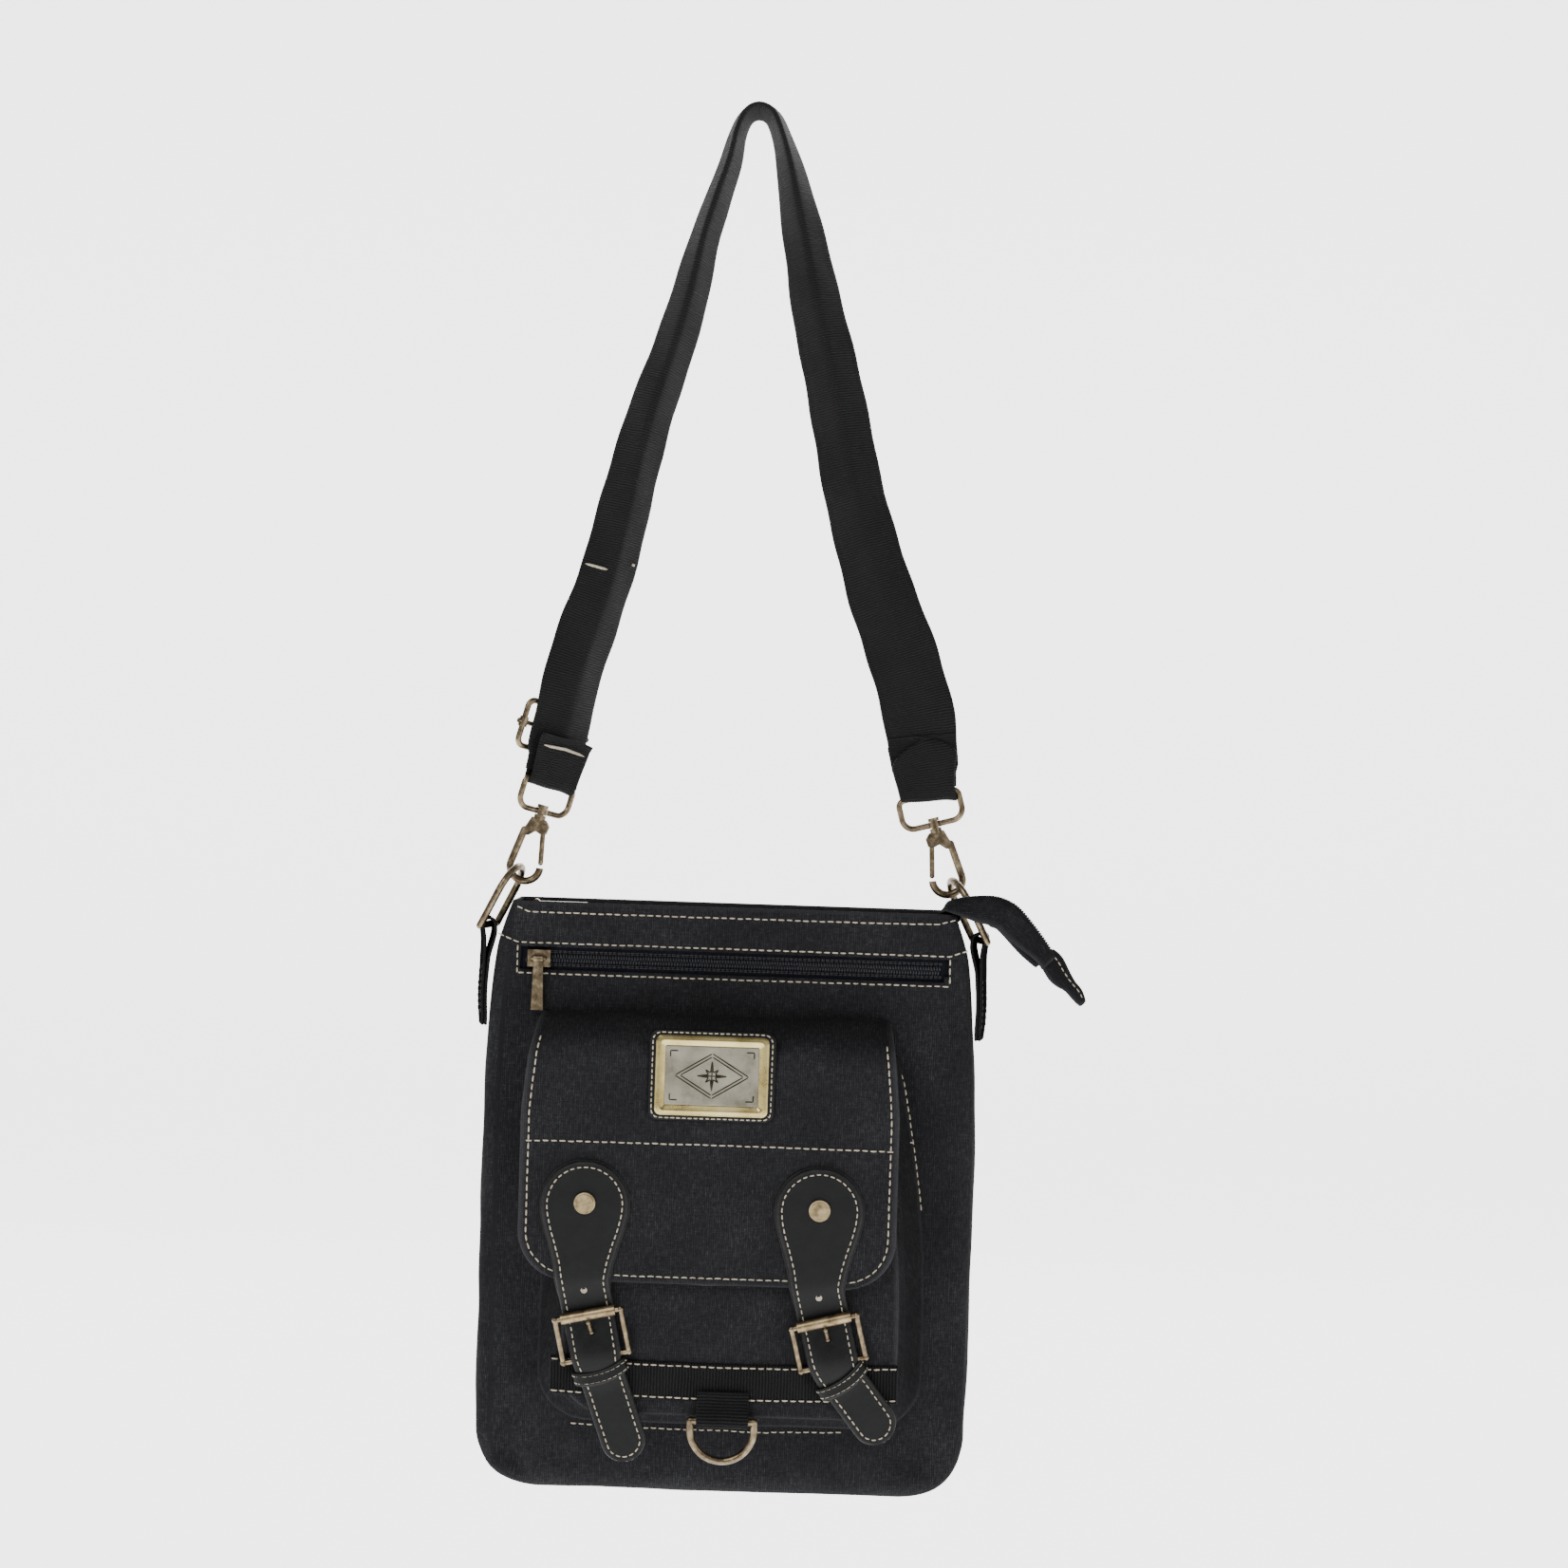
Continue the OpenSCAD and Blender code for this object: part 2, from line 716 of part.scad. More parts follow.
module buckle_strap_left() { buckle_strap(strap_x[0]); }
module buckle_strap_right() { buckle_strap(strap_x[1]); }

// Domed rivet caps over the snaps.
module rivet_caps() {
    color("#b89b5e") for (x = strap_x) translate([x, leather_y, snap_z]) rotate([90, 0, 0]) {
        cylinder(r = 5.5, h = 1.2);
        translate([0, 0, 1.2]) cylinder(r = 4.4, h = 0.6);
        translate([0, 0, -2.7]) cylinder(r = 2.4, h = 2.7);
    }
}

// ---- Buckles below the flap ----

end_turn = [-12, -14];
tail_turn = [-20, -38];
end_y = face_y - 6.2;
bar_drop = 40;
roller_drop = 17;
roller_y = end_y - roller_r - 0.5;

// Places a child at the top of the left (0) or right (1) strap end, with -Z along it.
module at_end(i) {
    translate([strap_x[i], 0, flap_bottom]) rotate([0, end_turn[i], 0]) children();
}

module at_tail(i) {
    at_end(i) translate([0, 0, -bar_drop - 3]) rotate([0, tail_turn[i] - end_turn[i], 0]) children();
}

// Leather below the flap: the run under the buckle, and its round-ended tail.
module strap_end(i) {
    w = 11;
    long = [42, 34][i];
    color("#17181a") {
        at_end(i) slab(end_y, 2.5)
            translate([-leather_w / 2, -bar_drop + 2]) square([leather_w, bar_drop - 5.5]);
        at_tail(i) slab(end_y + 1.9, 1.8) {
            translate([-w, -long]) square([2 * w, long - 1]);
            translate([0, -long]) circle(w);
        }
    }
}

// Narrow loop of leather that holds the tail.
module keeper(i) {
    w = 13.4;
    drop = [9, 10.5][i];
    color("#17181a") at_tail(i) translate([0, 0, -drop]) difference() {
        block([-w, end_y - 1.2, 0], [w, end_y + 4.4, 6]);
        block([-w + 1.6, end_y + 0.4, -1], [w - 1.6, end_y + 3.9, 7]);
    }
}

frame_half = 17;
frame_r = 1.4;
corner_r = 1.75;

// Frame whose upper side is the roller's pin; its sides slope down to the bar.
module buckle_frame(i) {
    bar_y = end_y + 0.4;
    color("#8a7450") at_end(i) {
        for (p = [[roller_y, -roller_drop], [bar_y, -bar_drop]])
            rod([-frame_half, p[0], p[1]], [frame_half, p[0], p[1]], frame_r);
        for (s = [-1, 1]) {
            translate([s * frame_half, roller_y, -roller_drop]) sphere(corner_r);
            rod([s * frame_half, roller_y, -roller_drop], [s * frame_half, bar_y, -bar_drop], frame_r);
            translate([s * frame_half, bar_y, -bar_drop]) sphere(corner_r);
        }
    }
}

// Stub of the prong that comes through the leather up to the roller.
module buckle_prong(i) {
    r = 1;
    from = [0, roller_y + 1.5, -roller_drop - 9.5];
    to = [0, roller_y - 4, -roller_drop - 3.4];
    color("#8a7450") at_end(i) {
        rod(from, to, r);
        translate(from) sphere(r + 0.2);
        translate(to) sphere(r + 0.2);
    }
}

module buckle_roller(i) {
    long = 28;
    color("#94793f") at_end(i) translate([0, roller_y, -roller_drop]) rotate([0, 90, 0]) difference() {
        cylinder(r = roller_r, h = long, center = true);
        cylinder(r = 1.5, h = long + 2, center = true);
    }
}

module strap_end_left() { strap_end(0); }
module strap_end_right() { strap_end(1); }
module keeper_left() { keeper(0); }
module keeper_right() { keeper(1); }
module buckle_frame_left() { buckle_frame(0); }
module buckle_frame_right() { buckle_frame(1); }
module buckle_prong_left() { buckle_prong(0); }
module buckle_prong_right() { buckle_prong(1); }
module buckle_roller_left() { buckle_roller(0); }
module buckle_roller_right() { buckle_roller(1); }

strap_webbing();
strap_slider();
strap_slider_bar();
eye_left();
eye_right();
hook_left();
hook_right();
gate_left();
gate_right();
gate_pin_left();
gate_pin_right();
gate_spring_left();
gate_spring_right();
side_ring_left();
side_ring_right();
side_tab_left();
side_tab_right();
front_panel();
back_panel();
gusset();
lining();
top_zip_front();
top_zip_back();
top_zip_tape();
top_zip_coil();
top_zip_tail();
top_zip_end();
top_slider();
top_pull();
front_zip_tape();
front_zip_coil();
front_zip_bag();
front_slider();
front_pull();
pocket_front();
pocket_gusset();
pocket_band();
pocket_loop();
front_ring();
snap_sockets();
flap_panel();
flap_facing();
badge_patch();
badge_frame();
badge_plate();
buckle_strap_left();
buckle_strap_right();
rivet_caps();
snap_studs();
strap_end_left();
strap_end_right();
keeper_left();
keeper_right();
buckle_frame_left();
buckle_frame_right();
buckle_prong_left();
buckle_prong_right();
buckle_roller_left();
buckle_roller_right();
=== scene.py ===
import math

import bmesh
import bpy
import numpy as np
from mathutils import Matrix, Vector, noise


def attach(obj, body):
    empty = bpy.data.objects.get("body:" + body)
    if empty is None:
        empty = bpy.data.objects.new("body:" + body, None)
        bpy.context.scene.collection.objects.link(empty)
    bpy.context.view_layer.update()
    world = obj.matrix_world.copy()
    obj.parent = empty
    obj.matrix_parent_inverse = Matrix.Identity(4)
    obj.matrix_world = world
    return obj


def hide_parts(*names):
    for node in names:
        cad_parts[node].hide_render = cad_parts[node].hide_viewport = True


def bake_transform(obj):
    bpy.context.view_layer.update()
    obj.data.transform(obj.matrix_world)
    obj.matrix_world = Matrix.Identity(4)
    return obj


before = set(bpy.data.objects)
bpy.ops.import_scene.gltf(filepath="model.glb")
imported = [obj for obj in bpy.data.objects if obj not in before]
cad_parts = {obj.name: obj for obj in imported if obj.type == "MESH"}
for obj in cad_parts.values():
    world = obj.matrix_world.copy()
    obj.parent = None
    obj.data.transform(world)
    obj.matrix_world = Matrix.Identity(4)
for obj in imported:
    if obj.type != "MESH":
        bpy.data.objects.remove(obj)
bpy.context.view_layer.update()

# Everything below is worked out in millimetres and built in metres.
MM = 0.001
PER_MM = (1000, 1000, 1000)
QUARTER = math.pi / 2
rng = np.random.default_rng(11)


# ---- numbers
def unit(v):
    v = np.asarray(v, float)
    return v / np.maximum(np.linalg.norm(v, axis=-1, keepdims=True), 1e-9)


def catmull(points, per):
    """Smooth curve through given points, per steps between each two."""
    P = np.array(points, float)
    last = len(P) - 1
    out = []
    for i in range(last):
        a, b, c, d = P[max(i - 1, 0)], P[i], P[i + 1], P[min(i + 2, last)]
        for k in range(per):
            t = k / per
            out.append(0.5 * (2 * b + (c - a) * t + (2 * a - 5 * b + 4 * c - d) * t * t
                              + (3 * b - a - 3 * c + d) * t ** 3))
    out.append(P[-1])
    return np.array(out)


def arc(start, stop, count):
    """Angles from start to stop, without the first."""
    return np.linspace(start, stop, count)[1:]


def table(points):
    """Smooth function through a few (x, value) pairs."""
    P = catmull(sorted(points), 8)
    return lambda x: np.interp(x, P[:, 0], P[:, 1])


def ramp(x, a, b):
    t = np.clip((np.asarray(x, float) - a) / (b - a), 0, 1)
    return t * t * (3 - 2 * t)


def rumple(x, z, size, seed=0.0):
    """Smooth noise from -1 to 1 over arrays of places, with features of that size in mm."""
    x, z = np.broadcast_arrays(np.asarray(x, float), np.asarray(z, float))
    flat = [noise.noise(Vector((a / size, b / size, seed))) for a, b in zip(x.ravel(), z.ravel())]
    return np.array(flat).reshape(x.shape)


def along(points):
    """Distance along a polyline at each of its points."""
    return np.concatenate([[0], np.cumsum(np.linalg.norm(np.diff(points, axis=0), axis=1))])


def resample(points, s):
    run = along(points)
    return np.stack([np.interp(s, run, points[:, k]) for k in range(points.shape[1])], -1)


# ---- materials
class Mat:
    """A material under construction: nodes by short calls."""

    def __init__(self, name, **sockets):
        self.mat = bpy.data.materials.new(name)
        self.mat.use_nodes = True
        self.tree = self.mat.node_tree
        self.bsdf = self.tree.nodes["Principled BSDF"]
        for k, v in sockets.items():
            self.bsdf.inputs[k.replace("_", " ")].default_value = v

    def add(self, kind, links=None, values=None, **props):
        n = self.tree.nodes.new(kind)
        for k, v in props.items():
            setattr(n, k, v)
        for k, v in (values or {}).items():
            n.inputs[k].default_value = v
        for k, v in (links or {}).items():
            self.tree.links.new(v, n.inputs[k])
        return n

    def math(self, op, a, b=None, clamp=False):
        n = self.add("ShaderNodeMath", operation=op, use_clamp=clamp)
        for i, v in enumerate((a, b)):
            if v is None:
                continue
            if isinstance(v, (int, float)):
                n.inputs[i].default_value = v
            else:
                self.tree.links.new(v, n.inputs[i])
        return n.outputs[0]

    def total(self, *terms):
        """Sum of terms: numbers, outputs, and (output, weight) pairs."""
        out = None
        for t in terms:
            t = self.math("MULTIPLY", *t) if isinstance(t, tuple) else t
            out = t if out is None else self.math("ADD", out, t)
        return out

    def wave(self, value, period):
        return self.math("SINE", self.math("MULTIPLY", value, 2 * math.pi / period))

    def coords(self, source, scale):
        tc = self.add("ShaderNodeTexCoord")
        m = self.add("ShaderNodeMapping", {"Vector": tc.outputs[source]})
        m.inputs["Scale"].default_value = scale
        return m.outputs[0]

    def noise(self, vector, scale=1.0, detail=2.0, rough=0.5):
        return self.add("ShaderNodeTexNoise", {"Vector": vector},
                        {"Scale": scale, "Detail": detail, "Roughness": rough}).outputs["Fac"]

    def ramp(self, fac, stops):
        n = self.add("ShaderNodeValToRGB", {"Fac": fac})
        e = n.color_ramp.elements
        while len(e) < len(stops):
            e.new(0.5)
        for el, (p, c) in zip(e, stops):
            el.position = p
            el.color = (*c, 1) if len(c) == 3 else c
        return n.outputs["Color"]

    def mix(self, fac, a, b):
        n = self.add("ShaderNodeMix", data_type="RGBA")
        for sock, v in ((n.inputs[0], fac), (n.inputs[6], a), (n.inputs[7], b)):
            if isinstance(v, (int, float)):
                sock.default_value = v
            elif isinstance(v, tuple):
                sock.default_value = (*v, 1)
            else:
                self.tree.links.new(v, sock)
        return n.outputs[2]

    def wear(self):
        return self.add("ShaderNodeAttribute", attribute_name="wear").outputs["Fac"]

    def finish(self, color, rough=None, height=None, bump=0.3, distance=0.0003):
        self.tree.links.new(color, self.bsdf.inputs["Base Color"])
        if rough is not None:
            self.tree.links.new(rough, self.bsdf.inputs["Roughness"])
        if height is not None:
            b = self.add("ShaderNodeBump", {"Height": height}, {"Strength": bump, "Distance": distance})
            self.tree.links.new(b.outputs[0], self.bsdf.inputs["Normal"])
        return self.mat


def cloth(name, dark, light, fleck, rib=1.1, weft=0.7, bump=0.5):
    """Ribbed, heathered canvas: uneven warp ribs up the cloth, finer weft across."""
    m = Mat(name, Roughness=0.92, Specular_IOR_Level=0.03)
    mm = m.coords("UV", PER_MM)
    sway = m.noise(mm, 0.05, 2)
    split = m.add("ShaderNodeSeparateXYZ", {"Vector": mm})
    warp = m.wave(m.total(split.outputs[0], (sway, 1.6)), rib)
    cross = m.wave(split.outputs[1], weft)
    streak = m.noise(m.coords("UV", (1000 / rib, 1000 / (rib * 4), 1000)), 1.0, 3, 0.6)
    pick = m.noise(m.coords("UV", (1000 / (rib * 5), 1000 / (weft * 1.3), 1000)), 1.0, 2, 0.6)
    heather = m.noise(mm, 1.7, 3, 0.7)
    cloud = m.math("SUBTRACT", m.noise(mm, 0.022, 3, 0.55), 0.5)
    tone = m.total((streak, 0.5), (heather, 0.7), (pick, 0.3), (warp, 0.06), (cloud, 0.28))
    col = m.ramp(tone, [(0.48, dark), (0.80, light), (1.0, fleck)])
    col = m.mix(m.math("MULTIPLY", m.wear(), m.total(heather, 0.1), True), col, fleck)
    height = m.total((warp, 0.5), (streak, 1.3), (cross, 0.22), (heather, 0.6))
    return m.finish(col, None, height, bump, 0.00022)


def webbing(name, dark, light, pitch=1.35, gloss=0.14):
    """Ribbed webbing: round ribs across the strap, with fine yarns along them."""
    m = Mat(name, Roughness=0.75, Sheen_Weight=0.02, Specular_IOR_Level=gloss)
    mm = m.coords("UV", PER_MM)
    split = m.add("ShaderNodeSeparateXYZ", {"Vector": mm})
    sway = m.noise(mm, 0.12, 2)
    rib = m.wave(m.total(split.outputs[1], (sway, 0.9)), pitch)
    yarn = m.wave(split.outputs[0], 0.8)
    fuzz = m.noise(mm, 1.4, 3, 0.7)
    cloud = m.noise(mm, 0.03, 2)
    col = m.ramp(m.total((rib, 0.17), (fuzz, 0.6), (cloud, 0.35)), [(0.25, dark), (0.75, light)])
    return m.finish(col, None, m.total(rib, (yarn, 0.3), (fuzz, 0.6)), 0.6, 0.0003)


def leather(name, dark, light, edge, rough=0.46, gloss=0.13, coat=0.03):
    """Smooth, slightly waxy leather with fine creased grain and rubbed edges."""
    m = Mat(name, Roughness=rough, Specular_IOR_Level=gloss, Coat_Weight=coat, Coat_Roughness=0.35)
    mm = m.coords("UV", PER_MM)
    jig = m.add("ShaderNodeTexNoise", {"Vector": mm}, {"Scale": 0.5, "Detail": 2})
    warp = m.add("ShaderNodeVectorMath", {0: mm, 1: jig.outputs["Color"]}, operation="ADD")
    cell = m.add("ShaderNodeTexVoronoi", {"Vector": warp.outputs[0]}, {"Scale": 1.05},
                 feature="DISTANCE_TO_EDGE").outputs["Distance"]
    grain = m.math("MINIMUM", m.math("MULTIPLY", cell, 3.2), 1.0)
    fine_grain = m.noise(mm, 2.6, 3, 0.6)
    cloud = m.noise(mm, 0.09, 4, 0.6)
    scuff = m.noise(m.coords("UV", (260, 700, 1000)), 1.0, 4, 0.7)
    col = m.ramp(m.total((cloud, 0.7), (fine_grain, 0.3)), [(0.3, dark), (0.75, light)])
    rub = m.math("MULTIPLY", m.wear(), m.math("SUBTRACT", scuff, 0.12), True)
    height = m.total((grain, 0.6), (fine_grain, 0.35), (cloud, 0.8))
    return m.finish(m.mix(rub, col, edge), m.total((cloud, 0.28), rough - 0.14), height, 0.35, 0.00022)


def metal(name, base, bright, dirt, rough=0.36, scale=0.16):
    """Plated metal with rubbed bright areas, dark patina and fine scratches."""
    m = Mat(name, Metallic=1.0, Roughness=rough)
    mm = m.coords("Object", PER_MM)
    patch = m.noise(mm, scale, 5, 0.62)
    speck = m.noise(mm, 2.2, 3, 0.7)
    scratch = m.noise(m.coords("Object", (2600, 300, 900)), 1.0, 3, 0.6)
    col = m.ramp(m.total((patch, 0.8), (speck, 0.2)), [(0.36, dirt), (0.5, base), (0.68, bright)])
    return m.finish(col, m.total((speck, 0.16), (patch, 0.22), rough - 0.19),
                    m.total((scratch, 0.5), speck), 0.12, 0.0001)


def nylon(name, dark, light):
    """Hard, slightly glossy plastic."""
    m = Mat(name, Roughness=0.38, Specular_IOR_Level=0.3)
    n = m.noise(m.coords("Object", PER_MM), 0.9, 3, 0.6)
    return m.finish(m.ramp(n, [(0.3, dark), (0.75, light)]), m.total((n, 0.3), 0.22), n, 0.2, 0.0001)


def thread(name, dark, light):
    """Twisted sewing thread."""
    m = Mat(name, Roughness=0.68, Sheen_Weight=0.1)
    mm = m.coords("Object", PER_MM)
    twist = m.add("ShaderNodeTexWave", {"Vector": mm}, {"Scale": 0.55, "Distortion": 1.5, "Detail": 1},
                  bands_direction="DIAGONAL").outputs["Fac"]
    spot = m.noise(mm, 0.07, 3, 0.6)
    col = m.ramp(m.total((twist, 0.35), (spot, 0.7)), [(0.3, dark), (0.7, light)])
    return m.finish(col, None, twist, 0.5, 0.0002)


CANVAS = cloth("canvas", (0.005, 0.0051, 0.0056), (0.014, 0.0141, 0.0153), (0.036, 0.0364, 0.0385))
# A darker copy of the canvas: painted shade, used for the pocket's sides and the top zip's strips, tail and
# end tab.
CANVAS_SHADED = cloth("canvas_painted_shade", (0.004, 0.0041, 0.0045), (0.0105, 0.0106, 0.0115),
                    (0.028, 0.0284, 0.03))
LINING = cloth("lining", (0.10, 0.09, 0.075), (0.19, 0.17, 0.145), (0.26, 0.24, 0.2), rib=0.8)
WEBBING = webbing("webbing", (0.0018, 0.0018, 0.0019), (0.0085, 0.0086, 0.0088))
BAND = webbing("webbing_band", (0.0025, 0.0025, 0.0027), (0.0145, 0.0148, 0.0155), pitch=1.6, gloss=0.03)
TAPE = cloth("zip_tape", (0.003, 0.0031, 0.0042), (0.008, 0.0083, 0.011), (0.016, 0.0165, 0.021),
             rib=1.0, weft=0.5, bump=0.35)
COIL = nylon("zip_coil", (0.004, 0.0042, 0.0058), (0.016, 0.0165, 0.021))
BLACK = ((0.0022, 0.0024, 0.0025), (0.006, 0.0064, 0.0065))
LEATHER = leather("leather", *BLACK, (0.03, 0.03, 0.029))
LEATHER_BACK = leather("leather_back", (0.0018, 0.0019, 0.002), (0.0045, 0.0047, 0.0048),
                       (0.026, 0.026, 0.025), rough=0.6)
LEATHER_TAB = leather("leather_tab", *BLACK, (0.02, 0.02, 0.019), rough=0.8, gloss=0.0, coat=0.0)
BRASS = metal("antique_brass", (0.15, 0.115, 0.07), (0.30, 0.24, 0.155), (0.075, 0.055, 0.035), scale=0.3)
ROLLER = metal("roller_brass", (0.24, 0.18, 0.10), (0.40, 0.31, 0.18), (0.09, 0.063, 0.036), rough=0.42)
BRIGHT = metal("bright_brass", (0.47, 0.38, 0.16), (0.62, 0.52, 0.25), (0.30, 0.23, 0.09),
               rough=0.3, scale=0.05)
CAPS = metal("rivet_brass", (0.30, 0.235, 0.13), (0.44, 0.35, 0.20), (0.15, 0.11, 0.06),
             rough=0.34, scale=0.25)
PLATE = metal("plate_metal", (0.25, 0.235, 0.185), (0.34, 0.32, 0.255), (0.15, 0.14, 0.105),
              rough=0.45, scale=0.06)
ENGRAVED = metal("engraved_line", (0.035, 0.03, 0.02), (0.07, 0.06, 0.04), (0.015, 0.012, 0.01), rough=0.6)
STEEL = metal("magnet_steel", (0.38, 0.37, 0.35), (0.52, 0.51, 0.48), (0.2, 0.19, 0.18), rough=0.3)
CREAM = thread("thread_cream", (0.24, 0.20, 0.135), (0.46, 0.41, 0.31))
DARK_THREAD = thread("thread_dark", (0.004, 0.004, 0.006), (0.02, 0.02, 0.025))


# ---- meshes
def build(name, verts, faces, mat, body, slot, uv=None, wear=None, smooth=True, blend=None, replaces=()):
    """A mesh piece from millimetres, riding its body, or left in world space where blend is given."""
    me = bpy.data.meshes.new(name)
    me.from_pydata((np.asarray(verts, float) * MM).tolist(), [], [list(f) for f in faces])
    if uv is not None:
        layer = me.uv_layers.new(name="UVMap")
        index = np.zeros(len(me.loops), int)
        me.loops.foreach_get("vertex_index", index)
        layer.data.foreach_set("uv", (np.asarray(uv, float)[index] * MM).ravel())
    a = me.attributes.new("wear", "FLOAT", "POINT")
    a.data.foreach_set("value", np.zeros(len(verts)) if wear is None else np.asarray(wear, float).ravel())
    me.polygons.foreach_set("use_smooth", [smooth] * len(me.polygons))
    me.materials.append(mat)
    me.validate()
    me.update()
    ob = bpy.data.objects.new(name, me)
    bpy.context.scene.collection.objects.link(ob)
    if blend:
        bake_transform(ob)
    else:
        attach(ob, body)
    if replaces:
        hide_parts(*replaces)
    return ob


def grid_faces(n, k, base=0, flip=False, wrap=False):
    """Quads between n rows of k points; wrap joins each row's end to its start."""
    out = []
    for i in range(n - 1):
        low, high = base + i * k, base + (i + 1) * k
        for j in range(k if wrap else k - 1):
            q = [low + j, low + (j + 1) % k, high + (j + 1) % k, high + j]
            out.append(q[::-1] if flip else q)
    return out


def weld(ob, distance):
    """Joins the points where loops meet and points all the faces outwards."""
    bm = bmesh.new()
    bm.from_mesh(ob.data)
    bmesh.ops.remove_doubles(bm, verts=bm.verts, dist=distance)
    bmesh.ops.recalc_face_normals(bm, faces=bm.faces)
    return bm


def sheet(name, P, t, mat, body, slot, rim=0.35, flip=False, wear_mm=1.6, **more):
    """A closed sheet of thickness t whose middle surface is the grid P, with soft rims."""
    n, k = P.shape[:2]
    N = unit(np.cross(np.gradient(P, axis=1), np.gradient(P, axis=0)))
    if flip:
        N = -N
    out, inn = P + N * t / 2, P - N * t / 2
    loop = ([(0, j) for j in range(k)] + [(i, k - 1) for i in range(1, n)]
            + [(n - 1, j) for j in range(k - 2, -1, -1)] + [(i, 0) for i in range(n - 2, 0, -1)])
    ring = []
    for i, j in loop:
        d = np.zeros(3)
        if i == 0:
            d += unit(P[0, j] - P[1, j])
        if i == n - 1:
            d += unit(P[i, j] - P[i - 1, j])
        if j == 0:
            d += unit(P[i, 0] - P[i, 1])
        if j == k - 1:
            d += unit(P[i, j] - P[i, j - 1])
        ring.append(P[i, j] + unit(d) * t * rim)
    lengths = np.linalg.norm(np.diff(P, axis=1), axis=2)
    seg = np.concatenate([np.zeros((n, 1)), np.cumsum(lengths, axis=1)], 1)
    u = seg - seg[:, k // 2][:, None]
    v = np.repeat(along(P[:, k // 2])[:, None], k, axis=1)
    near = np.minimum(np.minimum(seg, seg[:, -1:] - seg), np.minimum(v, v[-1:] - v))
    w = np.clip(1 - near / wear_mm, 0, 1)
    at = np.array([i * k + j for i, j in loop])
    uv = np.stack([u, v], -1).reshape(-1, 2)
    verts = np.concatenate([out.reshape(-1, 3), inn.reshape(-1, 3), np.array(ring)])
    faces = grid_faces(n, k, 0, flip) + grid_faces(n, k, n * k, not flip)
    base = 2 * n * k
    m = len(loop)
    for a in range(m):
        b = (a + 1) % m
        A, B = at[a], at[b]
        q1, q2 = [B, A, base + a, base + b], [n * k + A, n * k + B, base + b, base + a]
        faces += [q1[::-1], q2[::-1]] if flip else [q1, q2]
    uvs = np.concatenate([uv, uv, uv[at]])
    wear = np.concatenate([w.ravel(), w.ravel(), np.ones(m)])
    return build(name, verts, faces, mat, body, slot, uvs, wear, **more)


class Stitches:
    """Many short rounded threads in one mesh."""

    # Along the thread, its radius, and how far it stands up.
    RINGS = ((0.0, 0.3, -0.5), (0.14, 0.85, 0.1), (0.5, 1.0, 0.45), (0.86, 0.85, 0.1), (1.0, 0.3, -0.5))
    SIDES = 6

    def __init__(self):
        self.verts, self.faces = [], []

    def one(self, pts, nrm, r):
        base = len(self.verts)
        t = unit(pts[-1] - pts[0])
        for (f, rad, up), p, n in zip(self.RINGS, pts, nrm):
            side = unit(np.cross(t, n))
            for q in range(self.SIDES):
                a = 2 * math.pi * q / self.SIDES
                spoke = (side * math.cos(a) + n * math.sin(a) * 0.85) * r * rad
                self.verts.append(p + n * up * r + spoke)
        k, rings = self.SIDES, len(self.RINGS)
        self.faces += grid_faces(rings, k, base, False, True)
        self.faces.append([base + q for q in range(k)][::-1])
        self.faces.append([base + (rings - 1) * k + q for q in range(k)])

    def row(self, points, normals, pitch=4.3, length=3.3, r=0.42, jitter=0.12):
        points, normals = np.asarray(points, float), np.asarray(normals, float)
        run = along(points)
        count = max(1, round(run[-1] / pitch))
        step = run[-1] / count
        for c in range(count):
            size = length * step / pitch * (1 + rng.uniform(-0.08, 0.08))
            a = c * step + (step - size) / 2
            s = [a + size * f for f, _, _ in self.RINGS]
            p = resample(points, s)
            n = unit(resample(normals, s))
            shift = np.cross(unit(p[-1] - p[0]), n[2]) * rng.uniform(-jitter, jitter)
            self.one(p + shift, n, r)

    def done(self, name, mat, body, slot, **more):
        return build(name, self.verts, self.faces, mat, body, slot, **more)


def on(f, uv, lift):
    """Places and normals of a surface f(u, v) along a line of (u, v)."""
    uv = np.asarray(uv, float)
    u, v, e = uv[:, 0], uv[:, 1], 0.4
    N = unit(np.cross(f(u + e, v) - f(u - e, v), f(u, v + e) - f(u, v - e)))
    return f(u, v) + N * lift, N


def forward(N):
    """The normals, each turned to the bag's front."""
    return np.where(N[:, 1:2] > 0, -N, N)


def all_forward(N):
    """The normals, turned together so that the first faces the bag's front."""
    return -N if N[0, 1] > 0 else N


def at(x, y, z):
    """Points from arrays of x, y and z."""
    return np.stack(np.broadcast_arrays(np.asarray(x, float), y, np.asarray(z, float)), -1)


def level(values, y):
    return np.full(len(values), y)


def path2(points, step=1.0):
    """A polyline through 2D corners, cut into short steps."""
    P = np.array(points, float)
    run = along(P)
    return resample(P, np.linspace(0, run[-1], max(2, int(run[-1] / step) + 1)))


# ---- camera and strap
cam_data = bpy.data.cameras.new("camera")
cam = bpy.data.objects.new("camera", cam_data)
bpy.context.scene.collection.objects.link(cam)
bpy.context.scene.camera = cam
ROLL = math.radians(1.9)
CAMERA = (24, -1300, -357)
HALF_VIEW = 420
SENSOR = 36
cam.matrix_world = Matrix((
    (math.cos(ROLL), -math.sin(ROLL), 0, CAMERA[0] * MM),
    (0, 0, -1, CAMERA[1] * MM),
    (math.sin(ROLL), math.cos(ROLL), 0, CAMERA[2] * MM),
    (0, 0, 0, 1)))
cam_data.sensor_width = SENSOR
cam_data.lens = SENSOR / 2 / (HALF_VIEW / -CAMERA[1])

